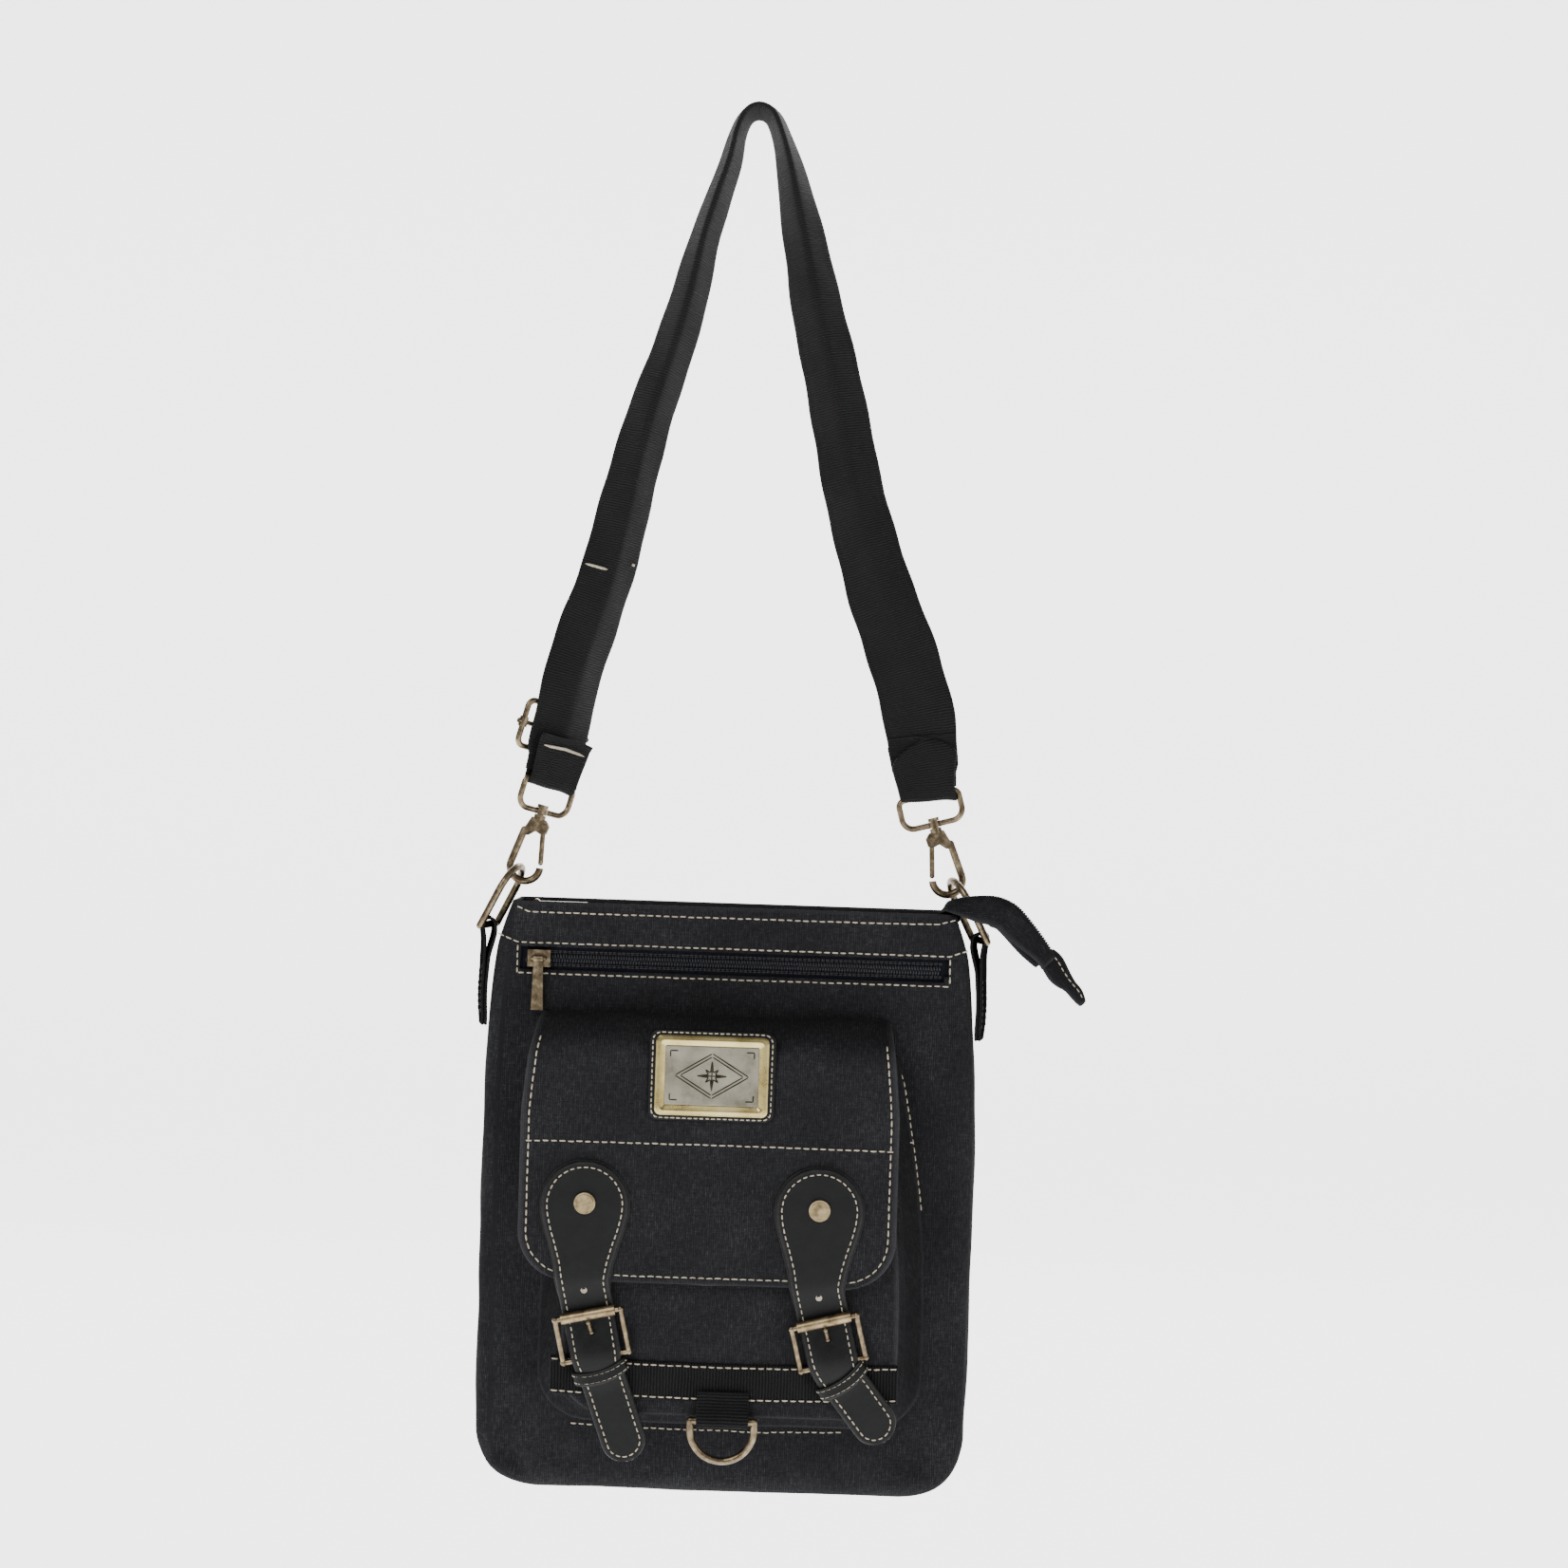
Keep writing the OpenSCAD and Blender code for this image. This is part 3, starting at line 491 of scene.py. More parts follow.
# The strap's route as in the CAD: x, z, turn of its width and half the angle of its lengthwise fold.
STRAP = [
    (101, -357, 88, 76), (98, -337, 88, 78), (95, -318, 89, 80), (89, -297, 90, 78), (82, -277, 90, 74),
    (73, -254, 90, 68), (64, -226, 90, 60), (56, -198, 90, 56), (49, -166, 90, 53), (42, -135, 90, 50),
    (34, -104, 90, 45), (28, -76, 90, 38), (22, -50, 90, 31), (17, -28, 90, 22), (12, -11, 90, 15),
    (6.5, 1, 90, 12), (-1, 4.5, 90, 12), (-8, 1, 90, 12), (-12.5, -9, 90, 13), (-16, -25, 90, 17),
    (-22, -44, 90, 20), (-29, -68, 89, 24), (-35, -96, 87, 30), (-43, -126, 85, 34), (-53, -158, 82, 38),
    (-60, -186, 79, 42), (-66, -214, 75, 46), (-73, -246, 71, 50), (-82, -276, 64, 56),
    (-89.5, -302, 54, 66), (-94, -326, 48, 74), (-98, -342, 48, 74), (-102, -356, 48, 74)]
HALF = 19.0
WEB_T = 1.5
WIDE = table([(-460, 0.8), (-357, 0.82), (-345, 0.93), (-325, 1.0), (-300, 1.0), (0, 1.0), (20, 1.0)])
fine = catmull(STRAP, 5)
line = np.stack([fine[:, 0], np.zeros(len(fine)), fine[:, 1]], -1)
T = unit(np.gradient(line, axis=0))
FLAT = np.cross(T, [0, 1, 0])
turn = np.radians(fine[:, 2])[:, None]
SIDE = np.cos(turn) * np.array([0, -1, 0]) - np.sin(turn) * FLAT
OUT = np.cross(T, SIDE)


def strap_grid(rows, lift=0.0):
    """Points of the webbing across and along; the crease faces the front."""
    arms = np.linspace(-1, 1, 23)
    blunt = 0.012
    grid = []
    for i in rows:
        psi = math.radians(fine[i, 3])
        bend = np.sqrt(arms ** 2 + blunt) - math.sqrt(blunt)
        wave = 0.7 * np.sin(along(line)[i] / 9.0 + arms * 2) * abs(arms)
        wide = HALF * float(WIDE(fine[i, 1])) + 0.35 * math.sin(along(line)[i] / 5.3)
        across = arms * wide * math.sin(psi)
        back = (bend * math.cos(psi) * HALF) - HALF * math.cos(psi) * 0.5 + wave + lift
        grid.append(line[i] + across[:, None] * SIDE[i] + back[:, None] * OUT[i])
    return np.array(grid)


strap = sheet("strap", strap_grid(range(len(fine))), WEB_T, WEBBING, "strap", "webbing",
              replaces=["strap_webbing"])
float(along(line)[-1] * MM)


def keep(material, slot, *names):
    """A CAD node that stays and gets its finish."""
    for n in names:
        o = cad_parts[n]
        o.data.materials.clear()
        o.data.materials.append(material)


BOTH = ("left", "right")
for s in BOTH:
    keep(BRASS, "antique_brass", "eye_" + s, "hook_" + s, "gate_" + s, "gate_pin_" + s, "side_ring_" + s,
         "buckle_frame_" + s, "buckle_prong_" + s)
    keep(STEEL, "magnet_steel", "gate_spring_" + s)
    keep(ROLLER, "antique_brass", "buckle_roller_" + s)
keep(BRASS, "antique_brass", "strap_slider", "strap_slider_bar", "top_slider", "top_pull", "front_slider",
     "front_pull", "front_ring")
keep(CAPS, "bright_brass", "rivet_caps")
keep(STEEL, "magnet_steel", "snap_sockets", "snap_studs")

# Webbing folded round the eyes' bars and up behind, with box stitching.
SWIVEL = np.array([105.3, 0, -376])
LEAN = math.radians(15)


def at_swivel(side, yaw):
    """Axes of the swivel: origin, across, front-to-back and up."""
    o = SWIVEL * [side, 1, 1]
    up = np.array([-side * math.sin(LEAN), 0, math.cos(LEAN)])
    x0 = np.array([math.cos(LEAN), 0, side * math.sin(LEAN)])
    y0 = np.array([0, 1, 0])
    c, s = math.cos(math.radians(yaw)), math.sin(math.radians(yaw))
    return o, x0 * c + y0 * s, y0 * c - x0 * s, up


strap_thread = Stitches()
# Each side: its yaw, the front layer's height, its half width at the bar and how much that widens.
for side, yaw, name, front_top, half, spread in ((-1, 42, "left", 25.0, 15.2, 1.6),
                                                 (1, 0, "right", 34.0, 14.4, 3.4)):
    o, ax, ay, az = at_swivel(side, yaw)
    bar = o + az * 16
    turn_r = 1.6 + 0.9
    lip = 1.4 if side < 0 else 0.0
    front = [(-turn_r - 0.5 - lip * max(0, (h - front_top + 3) / 3), h)
             for h in np.linspace(front_top, 1, 22)]
    round_bar = [(-turn_r * math.cos(a), -turn_r * math.sin(a)) for a in np.linspace(0.1, math.pi - 0.1, 12)]
    prof = front + round_bar + [(turn_r + 0.2, h) for h in np.linspace(1, 30, 16)]
    rows = []
    for q, (d, h) in enumerate(prof):
        w = half + spread * ramp(h, 2, 24)
        a = np.linspace(-1, 1, 21)
        droop = -0.9 * a * a + 0.5 * np.sin(a * 4 + q * 0.2)
        tilt = (5.0 if side > 0 else 0.8) * -a * (1 - ramp(h, 0, 16))
        aside = (3.0 if side > 0 else 0.0) * float(ramp(h, 2, 26))
        rows.append(bar + np.outer(a * w + aside, ax) + ay * d + np.outer(h + droop * 0.6 + tilt * 0.5, az))
    R = np.array(rows)
    if side > 0:
        # The front layer blends into the strap above.
        top = strap_grid([7])[0]
        meet = resample(top[::-1], np.linspace(0, along(top)[-1], 21)) - [0, 1.3, 0]
        for q in range(10):
            R[q] += (1 - q / 10.0) ** 2 * (meet - R[q])
    sheet("strap_fold_" + name, R, 1.4, WEBBING, "strap", "webbing")
    if side < 0:
        P = R[5, 1:-1] - ay * 0.95
        strap_thread.row(P, [-ay] * len(P), pitch=31, length=30.6, r=0.85)
        tack = OUT[-26] * (-1 if OUT[-26][1] > 0 else 1)
        for back, part, pitch, length in ((26, slice(13, 22), 20, 19.5), (27, slice(1, 4), 6, 5.6)):
            P = strap_grid([len(fine) - back], -1.2)[0][part]
            strap_thread.row(P, [tack] * len(P), pitch=pitch, length=length, r=0.8)
strap_thread.done("stitching_strap", CREAM, "strap", "webbing")

# ---- bag body
HEM, BOTTOM = -423.0, -733.5
FRONT, BACK = -20.0, 26.0
HALF_W = table([(-420, 116.5), (-423, 117), (-437, 122), (-450, 125.5), (-475, 128), (-500, 129),
                (-540, 129.5), (-600, 129.5), (-660, 129), (-700, 128.5), (-760, 128.5)])
CORNER_R = 31.0
EDGE = 12.0
# Creases in the cloth: from (x, z) to (x, z), half width and depth.
CREASES = [
    (-121, -636, -127, -704, 5, 3.2), (-107, -682, -118, -722, 5, 3.4), (-113, -706, -99, -729, 4, 4.0),
    (-117, -560, -121, -640, 9, 1.6), (118, -560, 121, -690, 10, 1.5), (112, -694, 99, -722, 7, 1.9),
    (-60, -729, -20, -718, 8, 1.4), (40, -731, 80, -720, 8, 1.3), (-104, -472, -112, -540, 8, 0.9),
    (-90, -700, -72, -728, 6, 1.8), (108, -600, 116, -560, 7, 1.0)]


def bag_half(z, side):
    """Half width of the bag at height z, with its rounded bottom corners."""
    w = HALF_W(z) + (1.6 * ramp(z, -480, -540) if side > 0 else 0.0)
    low = np.clip(CORNER_R - (z - BOTTOM), 0, CORNER_R)
    return w - CORNER_R + np.sqrt(np.maximum(CORNER_R ** 2 - low ** 2, 0))


def folds(x, z):
    """Depth of the creases at (x, z)."""
    total = np.zeros(np.broadcast(x, z).shape)
    for x0, z0, x1, z1, wide, deep in CREASES:
        d = np.array([x1 - x0, z1 - z0], float)
        t = np.clip(((x - x0) * d[0] + (z - z0) * d[1]) / (d @ d), 0, 1)
        off = np.hypot(x - x0 - t * d[0], z - z0 - t * d[1])
        total = total + deep * np.exp(-(off / wide) ** 2) * np.sin(math.pi * np.clip(t * 0.8 + 0.1, 0, 1))
    return total


def front_y(x, z):
    """Outer face of the bag's front at (x, z)."""
    x, z = np.asarray(x, float), np.asarray(z, float)
    soft = ramp(z, -470, -530)
    low = ramp(z, -640, -712)
    crown = 1.6 * soft * np.clip(1 - (x / 128) ** 2, 0, 1)
    hem = 0.55 * ramp(z, -429.6, -428.2)
    wave = soft * (1.1 * rumple(x, z * 0.6, 46, 3.1) + 0.5 * rumple(x, z, 17, 8.2))
    wave = wave + low * 1.3 * rumple(x, z, 26, 5.5)
    return FRONT - crown - hem - wave + folds(x, z)


def back_y(x, z):
    """Outer face of the bag's back at (x, z)."""
    soft = ramp(z, -440, -520)
    crown = 2.0 * soft * np.clip(1 - (np.asarray(x, float) / 128) ** 2, 0, 1)
    hem = 0.55 * ramp(z, -429.6, -428.2)
    wave = soft * 1.2 * rumple(x, np.asarray(z) * 0.7, 50, 14.2)
    return BACK + crown * 0.4 + hem + wave * 0.6 - 1.0 * soft


def front_at(x, z):
    return at(x, front_y(x, z), z)


# The front zip's opening in the body, and where its ends lie across the front.
ZIP_TOP, ZIP_LOW = -447, -459
ZIP_COLS = (-0.9385, 0.9556)


def bag_rows(inset):
    """Loops round the bag from its hem down, all of one number of points, and the front's columns."""
    zs = np.concatenate([np.linspace(HEM, ZIP_TOP, 11), arc(ZIP_TOP, ZIP_LOW, 5), arc(ZIP_LOW, -696, 88),
                         BOTTOM + CORNER_R * (1 - np.cos(np.linspace(QUARTER, 0, 16)))])
    zs = np.unique(np.round(zs[::-1], 3))[::-1]
    cols = np.concatenate([np.linspace(-1, ZIP_COLS[0], 4), arc(*ZIP_COLS, 82), arc(ZIP_COLS[1], 1, 3)])
    loops = []
    for z in zs:
        rc = 3 + 6.5 * ramp(z, -426, -455)
        wl, wr = bag_half(z, -1) - inset, bag_half(z, 1) - inset
        low = np.clip(EDGE - (z - BOTTOM), 0, EDGE)
        tuck = EDGE - math.sqrt(max(EDGE ** 2 - low ** 2, 0))
        xf = np.where(cols < 0, cols * (wl - rc), cols * (wr - rc))
        yf = front_y(xf, np.full_like(xf, z)) + tuck + inset
        xb = xf[::-1]
        yb = back_y(xb, np.full_like(xb, z)) - tuck - inset
        side_bulge = 1.6 * float(ramp(z, -445, -520))
        pts = [np.stack([xf, yf], -1)]
        for x0, y0, y1, s in ((wr - rc, yf[-1], yb[0], 1), (-(wl - rc), yb[-1], yf[0], -1)):
            r = min(rc, abs(y1 - y0) / 2 - 0.5)
            sy = 1 if s > 0 else -1
            a = arc(0, QUARTER, 7)
            corner1 = np.stack([x0 + s * r * np.sin(a), y0 + sy * r * (1 - np.cos(a))], -1)
            t = np.linspace(0, 1, 10)[1:-1]
            dents = s * 0.9 * rumple(t * 40, level(t, z), 33, 20 + s) * ramp(z, -460, -520)
            flat_side = np.stack([level(t, x0 + s * r) + s * side_bulge * np.sin(math.pi * t) + dents,
                                  y0 + sy * r + (y1 - y0 - 2 * sy * r) * t], -1)
            a = a[:-1] if s < 0 else a
            corner2 = np.stack([x0 + s * r * np.cos(a), y1 - sy * r * (1 - np.sin(a))], -1)
            pts += [corner1, flat_side, corner2[:-1] if s > 0 else corner2]
            if s > 0:
                pts.append(np.stack([xb, yb], -1))
        loop = np.concatenate(pts)
        loops.append(np.column_stack([loop, np.full(len(loop), z)]))
    return np.array(loops), cols


MIDDLE = 3


def bag_shell(name, inset, thick, mat, slot, replaces, top=HEM):
    """The bag's walls and bottom as one cloth, with the zip's opening where it is the outer one."""
    loops, cols = bag_rows(inset)
    loops = loops[loops[:, 0, 2] <= top]
    k = loops.shape[1]
    mid = loops[-1]
    closing = []
    for f in (0.55, 0.0):
        row = mid.copy()
        row[:, 1] = MIDDLE + (mid[:, 1] - MIDDLE) * f
        row[:, 2] -= 0.4 * (1 - f)
        closing.append(row)
    rows = np.concatenate([loops, np.array(closing)])
    n = len(rows)
    seg = np.linalg.norm(rows - np.roll(rows, 1, axis=1), axis=2)
    seg[:, 0] = 0
    u = np.cumsum(seg, axis=1)
    u -= u[:, len(cols) // 2][:, None]
    v = np.repeat(along(rows[:, len(cols) // 2])[:, None], k, axis=1)
    verts = rows.reshape(-1, 3)
    faces = []
    for f in grid_faces(n, k, 0, True, True):
        zc, xc = verts[f, 2].mean(), verts[f, 0].mean()
        on_front = max(q % k for q in f) < len(cols)
        if inset == 0 and on_front and ZIP_LOW < zc < ZIP_TOP and -111 < xc < 113:
            continue
        faces.append(f)
    wear = ramp(verts[:, 2], HEM - 2.0, HEM)
    uv = np.stack([u, v], -1).reshape(-1, 2)
    ob = build(name, verts, faces, mat, "bag", slot, uv, wear, replaces=replaces)
    bm = weld(ob, 0.00005)
    if sum(f.normal.y * (f.calc_center_median().y - MIDDLE * MM) for f in bm.faces) < 0:
        bmesh.ops.reverse_faces(bm, faces=bm.faces)
    bm.to_mesh(ob.data)
    bm.free()
    mod = ob.modifiers.new("thickness", "SOLIDIFY")
    mod.thickness = thick * MM
    mod.offset = -1
    mod.use_even_offset = False
    return ob


bag_shell("bag_shell", 0.0, 1.6, CANVAS, "canvas", ["front_panel", "back_panel", "gusset"])
bag_shell("bag_lining", 3.6, 0.6, LINING, "lining", ["lining", "front_zip_bag"], top=-434)

bag_thread = Stitches()


def front_row(points):
    P, N = on(front_at, path2(points), 0.05)
    bag_thread.row(P, all_forward(N))


front_row([(-115, -425.8), (-108, -428.6), (-60, -428.8), (60, -428.8), (108, -428.4), (117.5, -425.5)])
front_row([(-124.5, -440.5), (-113.5, -444.9), (0, -445), (114.5, -445.2), (124.5, -441.5)])
front_row([(-113.5, -446), (-113.5, -461.5)])
front_row([(-113.5, -461), (0, -461.2), (114.8, -461)])
front_row([(114.8, -460), (114.8, -446)])

# ---- front zip
X, Z = np.meshgrid(np.linspace(-116, 118, 40), np.linspace(-465, -441, 9))
sheet("front_zip_tape_cloth", np.stack([X, np.full_like(X, -17.2), Z], -1), 0.6, TAPE, "bag", "zip_tape",
      replaces=["front_zip_tape"])
LOOP_STEPS = np.linspace(0, 1, 5)[:, None]


def coil(name, start, length, across, normal, replaces, pitch=1.45, half=2.7):
    """Two rows of slanted coil loops along X that mesh in the middle, sewn down beside them."""
    c = Stitches()
    d, a, n = (np.array(q, float) for q in ((1, 0, 0), across, normal))
    p0 = np.array(start, float)
    for q in range(int(length / pitch)):
        for s in (-1, 1):
            base = p0 + d * (q + (0.5 if s > 0 else 0)) * pitch
            pts = base + a * s * (half - (half + 0.5) * LOOP_STEPS) + d * LOOP_STEPS * 0.35
            c.one(pts, [n] * 5, 0.62)
    c.done(name, COIL, "bag", "zip_coil", replaces=replaces)
    t = Stitches()
    for s in (-1, 1):
        for off in (half + 0.35, half + 1.2):
            pts = p0 + a * s * off + np.outer(np.linspace(0, length, 60), d) - n * 0.35
            t.row(pts, [n] * 60, pitch=2.4, length=2.0, r=0.24, jitter=0.03)
    t.done(name + "_seam", DARK_THREAD, "bag", "zip_coil")


coil("front_zip_coil_rows", (-109, -18.3, -453), 220, (0, 0, 1), (0, -1, 0), ["front_zip_coil"])

# ---- top zip
ZIP_Y, ZIP_Z = -4.0, -429.0
for name, y0, y1 in (("top_zip_front", FRONT + 1.0, ZIP_Y - 3.8), ("top_zip_back", ZIP_Y + 3.8, BACK - 1.0)):
    X, Y = np.meshgrid(np.linspace(-117, 117, 50), np.linspace(y0, y1, 9))
    puff = np.sin(math.pi * np.clip((Y - y0) / (y1 - y0), 0, 1))
    Z = ZIP_Z - 0.6 + 0.35 * rumple(X, Y, 30, 4) * puff
    # The strips use the darker copy of the canvas: painted shade.
    sheet(name + "_strip", np.stack([X, Y, Z], -1), 1.2, CANVAS_SHADED, "bag", "canvas", flip=True,
          replaces=[name])
X, Y = np.meshgrid(np.linspace(-116, 116, 40), np.linspace(ZIP_Y - 11, ZIP_Y + 11, 7))
sheet("top_zip_tape_cloth", np.stack([X, Y, np.full_like(X, ZIP_Z - 1.55)], -1), 0.6, TAPE, "bag", "zip_tape",
      flip=True, replaces=["top_zip_tape"])
coil("top_zip_coil_rows", (-113, ZIP_Y, ZIP_Z - 0.4), 226, (0, 1, 0), (0, 0, 1), ["top_zip_coil"])
for y in (ZIP_Y - 5.6, ZIP_Y + 5.6):
    pts = [(x, y, ZIP_Z + 0.1) for x in np.linspace(-112, 112, 60)]
    bag_thread.row(pts, [(0, 0, 1)] * 60)
for z, x0, x1 in ((-427.6, -114, 116), (-445, -118, 120)):
    pts = [(x, float(back_y(x, z)) + 0.05, z) for x in np.linspace(x0, x1, 80)]
    bag_thread.row(pts, [(0, 1, 0)] * 80)

# The zip's free tail: canvas folded down on both sides of the coil.
TAIL = [(113, -7, -428, 2.2), (114.6, -12, -423.4, 2.8), (114.6, -18, -417.8, 3.8), (118, -26.5, -414.6, 7.5),
        (127, -30.5, -413, 12), (137, -31, -413, 14.5), (146, -30.5, -416.5, 15), (154, -29.5, -424.5, 14),
        (162, -28, -434.5, 12), (168, -26, -443, 10)]
tail = catmull(TAIL, 5)
ridge = tail[:, :3]
TT = unit(np.gradient(ridge, axis=0))
SS = unit(np.cross(TT, [0, 0, 1]))
UU = np.cross(SS, TT)
# The tail's section over one side of the ridge: across and down.
HALF_SECTION = [(0.4, 0.0), (0.66, -0.08), (0.78, -0.22), (0.86, -0.4), (0.93, -0.6), (0.98, -0.8),
                (1.0, -1.0)]
SECTION = [(-a, b) for a, b in HALF_SECTION[::-1]] + [(0, 0.02)] + HALF_SECTION
rows = []
for i in range(len(ridge)):
    drop = tail[i, 3]
    row = []
    for a, b in SECTION:
        w = 5.0 + 0.8 * math.sin(i * 0.55 + b * 2)
        lift = 1.1 * math.sin(i * 0.45 + (2 if a > 0 else 0)) * abs(b)
        row.append(ridge[i] + SS[i] * (a * w + lift * 0.4) + UU[i] * (b * drop + lift * 0.35))
    rows.append(row)
# The tail uses the darker copy of the canvas: painted shade.
sheet("top_zip_tail_cloth", np.array(rows), 1.3, CANVAS_SHADED, "bag", "canvas", replaces=["top_zip_tail"])
c = Stitches()
tail_pitch = 1.5
for q in range(int((along(ridge)[-1] - 6) / tail_pitch)):
    p, d, a, n = (resample(m, [4 + q * tail_pitch])[0] for m in (ridge, TT, SS, UU))
    for s in (-1, 1):
        pts = p + n * 0.9 + a * s * (2.5 - 3.0 * LOOP_STEPS) + d * (LOOP_STEPS * 0.35 + (0.7 if s > 0 else 0))
        c.one(pts, [n] * 5, 0.6)
c.done("top_zip_tail_coil", COIL, "bag", "zip_coil")
# The folded tab of canvas at its end, pointing down at 50 degrees.
end_o = np.array([168.4, -26, -443.6])
dip = math.radians(50)
ea, ec = np.array([math.cos(dip), 0, -math.sin(dip)]), np.array([math.sin(dip), 0, math.cos(dip)])
rows = []
for s in np.linspace(-3, 28, 16):
    a = np.linspace(-1, 1, 13)
    w = 6.2 * (0.55 + 0.45 * math.sin(math.pi * min(1, (s + 9) / 26)))
    w *= 1 if s < 20 else 1 - 0.5 * ((s - 20) / 8) ** 2
    rows.append(end_o + ea * s + np.outer(a * w * 0.35, (0, 1, 0))
                + np.outer(-2.6 + a * w * 0.95 + 0.5 * np.cos(s * 0.3), ec))
front_half = np.array(rows)
front_half[:, :, 1] -= 1.6 + 1.3 * np.sin(np.linspace(0, math.pi, 13))[None, :]
back_half = np.array(rows)
back_half[:, :, 1] += 1.4 + 1.2 * np.sin(np.linspace(0, math.pi, 13))[None, :]
# Both halves of the end tab use the darker copy of the canvas: painted shade.
sheet("tail_end_front", front_half, 1.4, CANVAS_SHADED, "bag", "canvas", replaces=["top_zip_end"])
sheet("tail_end_back", back_half, 1.4, CANVAS_SHADED, "bag", "canvas")
P = front_half[1:-1, 9] + [0, -0.75, 0]
bag_thread.row(P, [(0, -1, 0)] * len(P), pitch=3.6, length=2.7, r=0.34)

# ---- cargo pocket
POCKET_TOP, FACE = -499.0, -47.0
BASE_R = table([(-495, 87), (-505, 90), (-520, 93), (-545, 98), (-575, 102.5), (-610, 105.5),
                (-650, 106.3), (-720, 106)])
BASE_L = table([(-495, -80), (-505, -82), (-520, -85), (-545, -89), (-575, -93), (-610, -95),
                (-650, -95.5), (-720, -95)])
BASE_BOTTOM, BASE_CORNER = -695.0, 27.0
TAPER, RISE = 11.5, 10.5
ROLL_OVER = 3.2


def pocket_outline(f):
    """The pocket's outline from its top left round to its top right; f is 0 at the bag, 1 at the face."""
    inset, z0 = TAPER * f, BASE_BOTTOM + RISE * f
    r = BASE_CORNER - 4 * f
    left = [(float(BASE_L(z)) + inset, z) for z in np.linspace(POCKET_TOP, z0 + r, 40)]
    right = [(float(BASE_R(z)) - inset, z) for z in np.linspace(z0 + r, POCKET_TOP, 40)]
    xl, xr = left[-1][0], right[0][0]
    a = arc(0, QUARTER, 16)
    c1 = [(xl + r * (1 - math.cos(t)), z0 + r * (1 - math.sin(t))) for t in a]
    c2 = [(xr - r * (1 - math.sin(t)), z0 + r * (1 - math.cos(t))) for t in a]
    P = np.array(left + c1 + c2 + right)
    return resample(P, np.linspace(0, along(P)[-1], 150))


def pocket_y(x, z):
    """Outer face of the pocket."""
    x, z = np.asarray(x, float), np.asarray(z, float)
    open_part = ramp(z, -612, -626)
    wave = 0.35 * rumple(x, z, 30, 2.2) * open_part
    low = 0.8 * open_part * (1 - ramp(z, -640, -654)) * np.clip(1 - ((x - 6) / 88) ** 2, 0, 1)
    return FACE - low - wave


def pocket_at(x, z):
    return at(x, pocket_y(x, z), z)


def inward(P):
    """Directions in the XZ plane towards the inside of the outline P."""
    d = unit(np.gradient(P, axis=0))
    return np.stack([-d[:, 1], d[:, 0]], -1)


sides = []
for v in np.linspace(0, 1, 13):
    P = pocket_outline(v)
    y_bag = front_y(P[:, 0], P[:, 1]) + 0.3
    y_face = pocket_y(P[:, 0], P[:, 1]) + ROLL_OVER
    arch = math.sin(math.pi * v)
    soft = ramp(P[:, 1], POCKET_TOP, POCKET_TOP - 40)
    push = 3.6 * arch * soft + 0.7 * rumple(P[:, 0], P[:, 1] + v * 30, 22, 9.0) * arch
    Q = P + inward(P) * push[:, None]
    sides.append(np.stack([Q[:, 0], y_bag + (y_face - y_bag) * v, Q[:, 1]], -1))
# The sides' front edge rolls over onto the face.
P = pocket_outline(1.0)
for a in np.linspace(0.25, 1, 4):
    Q = P + inward(P) * (ROLL_OVER * (1 - math.cos(a * QUARTER)))
    y = pocket_y(P[:, 0], P[:, 1]) + ROLL_OVER * (1 - math.sin(a * QUARTER)) + 0.8
    sides.append(np.stack([Q[:, 0], y, Q[:, 1]], -1))
# The pocket's sides use the darker copy of the canvas: painted shade.
sheet("pocket_sides", np.array(sides), 1.4, CANVAS_SHADED, "bag", "canvas", replaces=["pocket_gusset"])

# The face, in rows across between the outline's two sides.
face_rows = []
z0 = BASE_BOTTOM + RISE
r = BASE_CORNER - 4
zs = np.concatenate([np.linspace(POCKET_TOP, z0 + r, 62), z0 + r * (1 - np.sin(arc(0, QUARTER, 14)))])
for z in zs:
    low = max(0.0, r - (z - z0))
    cut = r - math.sqrt(max(r * r - low * low, 0)) + 2.6
    xl, xr = float(BASE_L(z)) + TAPER + cut, float(BASE_R(z)) - TAPER - cut
    xs = np.linspace(xl, xr, 64)
    face_rows.append(pocket_at(xs, np.full_like(xs, z)) + [0, 0.7, 0])
sheet("pocket_face", np.array(face_rows), 1.4, CANVAS, "bag", "canvas", flip=True, replaces=["pocket_front"])

# Webbing band across the pocket, sagging between its stitches, and the loop for the ring
BAND_Z = -666.0


def sag(x):
    return -2.2 * np.clip(1 - ((np.asarray(x, float) - 3) / 92) ** 2, 0, 1) + 1.0


xs = np.linspace(-86.5, 92.5, 90)
P = np.array([pocket_at(xs, BAND_Z + sag(xs) + h) + [0, -0.6, 0] for h in np.linspace(9.6, -9.6, 9)])
sheet("pocket_band_cloth", P.transpose(1, 0, 2), 1.1, BAND, "bag", "webbing", replaces=["pocket_band"])
for h in (8.2, -8.2):
    P, N = on(pocket_at, [(x, BAND_Z + float(sag(x)) + h) for x in xs], 1.25)
    bag_thread.row(P, all_forward(N))
# The ring's loop in profile: y, z.
LOOP = [(-50.4, -671.5), (-50.6, -675), (-51.6, -679), (-53.0, -682.5), (-53.65, -686), (-52.9, -688.2),
        (-50.8, -689.0), (-49.2, -687.6), (-48.7, -684), (-48.7, -678)]
rows = [at(np.linspace(-10, 16, 15), y, z) for y, z in catmull(LOOP, 4)]
sheet("pocket_loop_cloth", np.array(rows), 1.1, BAND, "bag", "webbing", flip=True, replaces=["pocket_loop"])

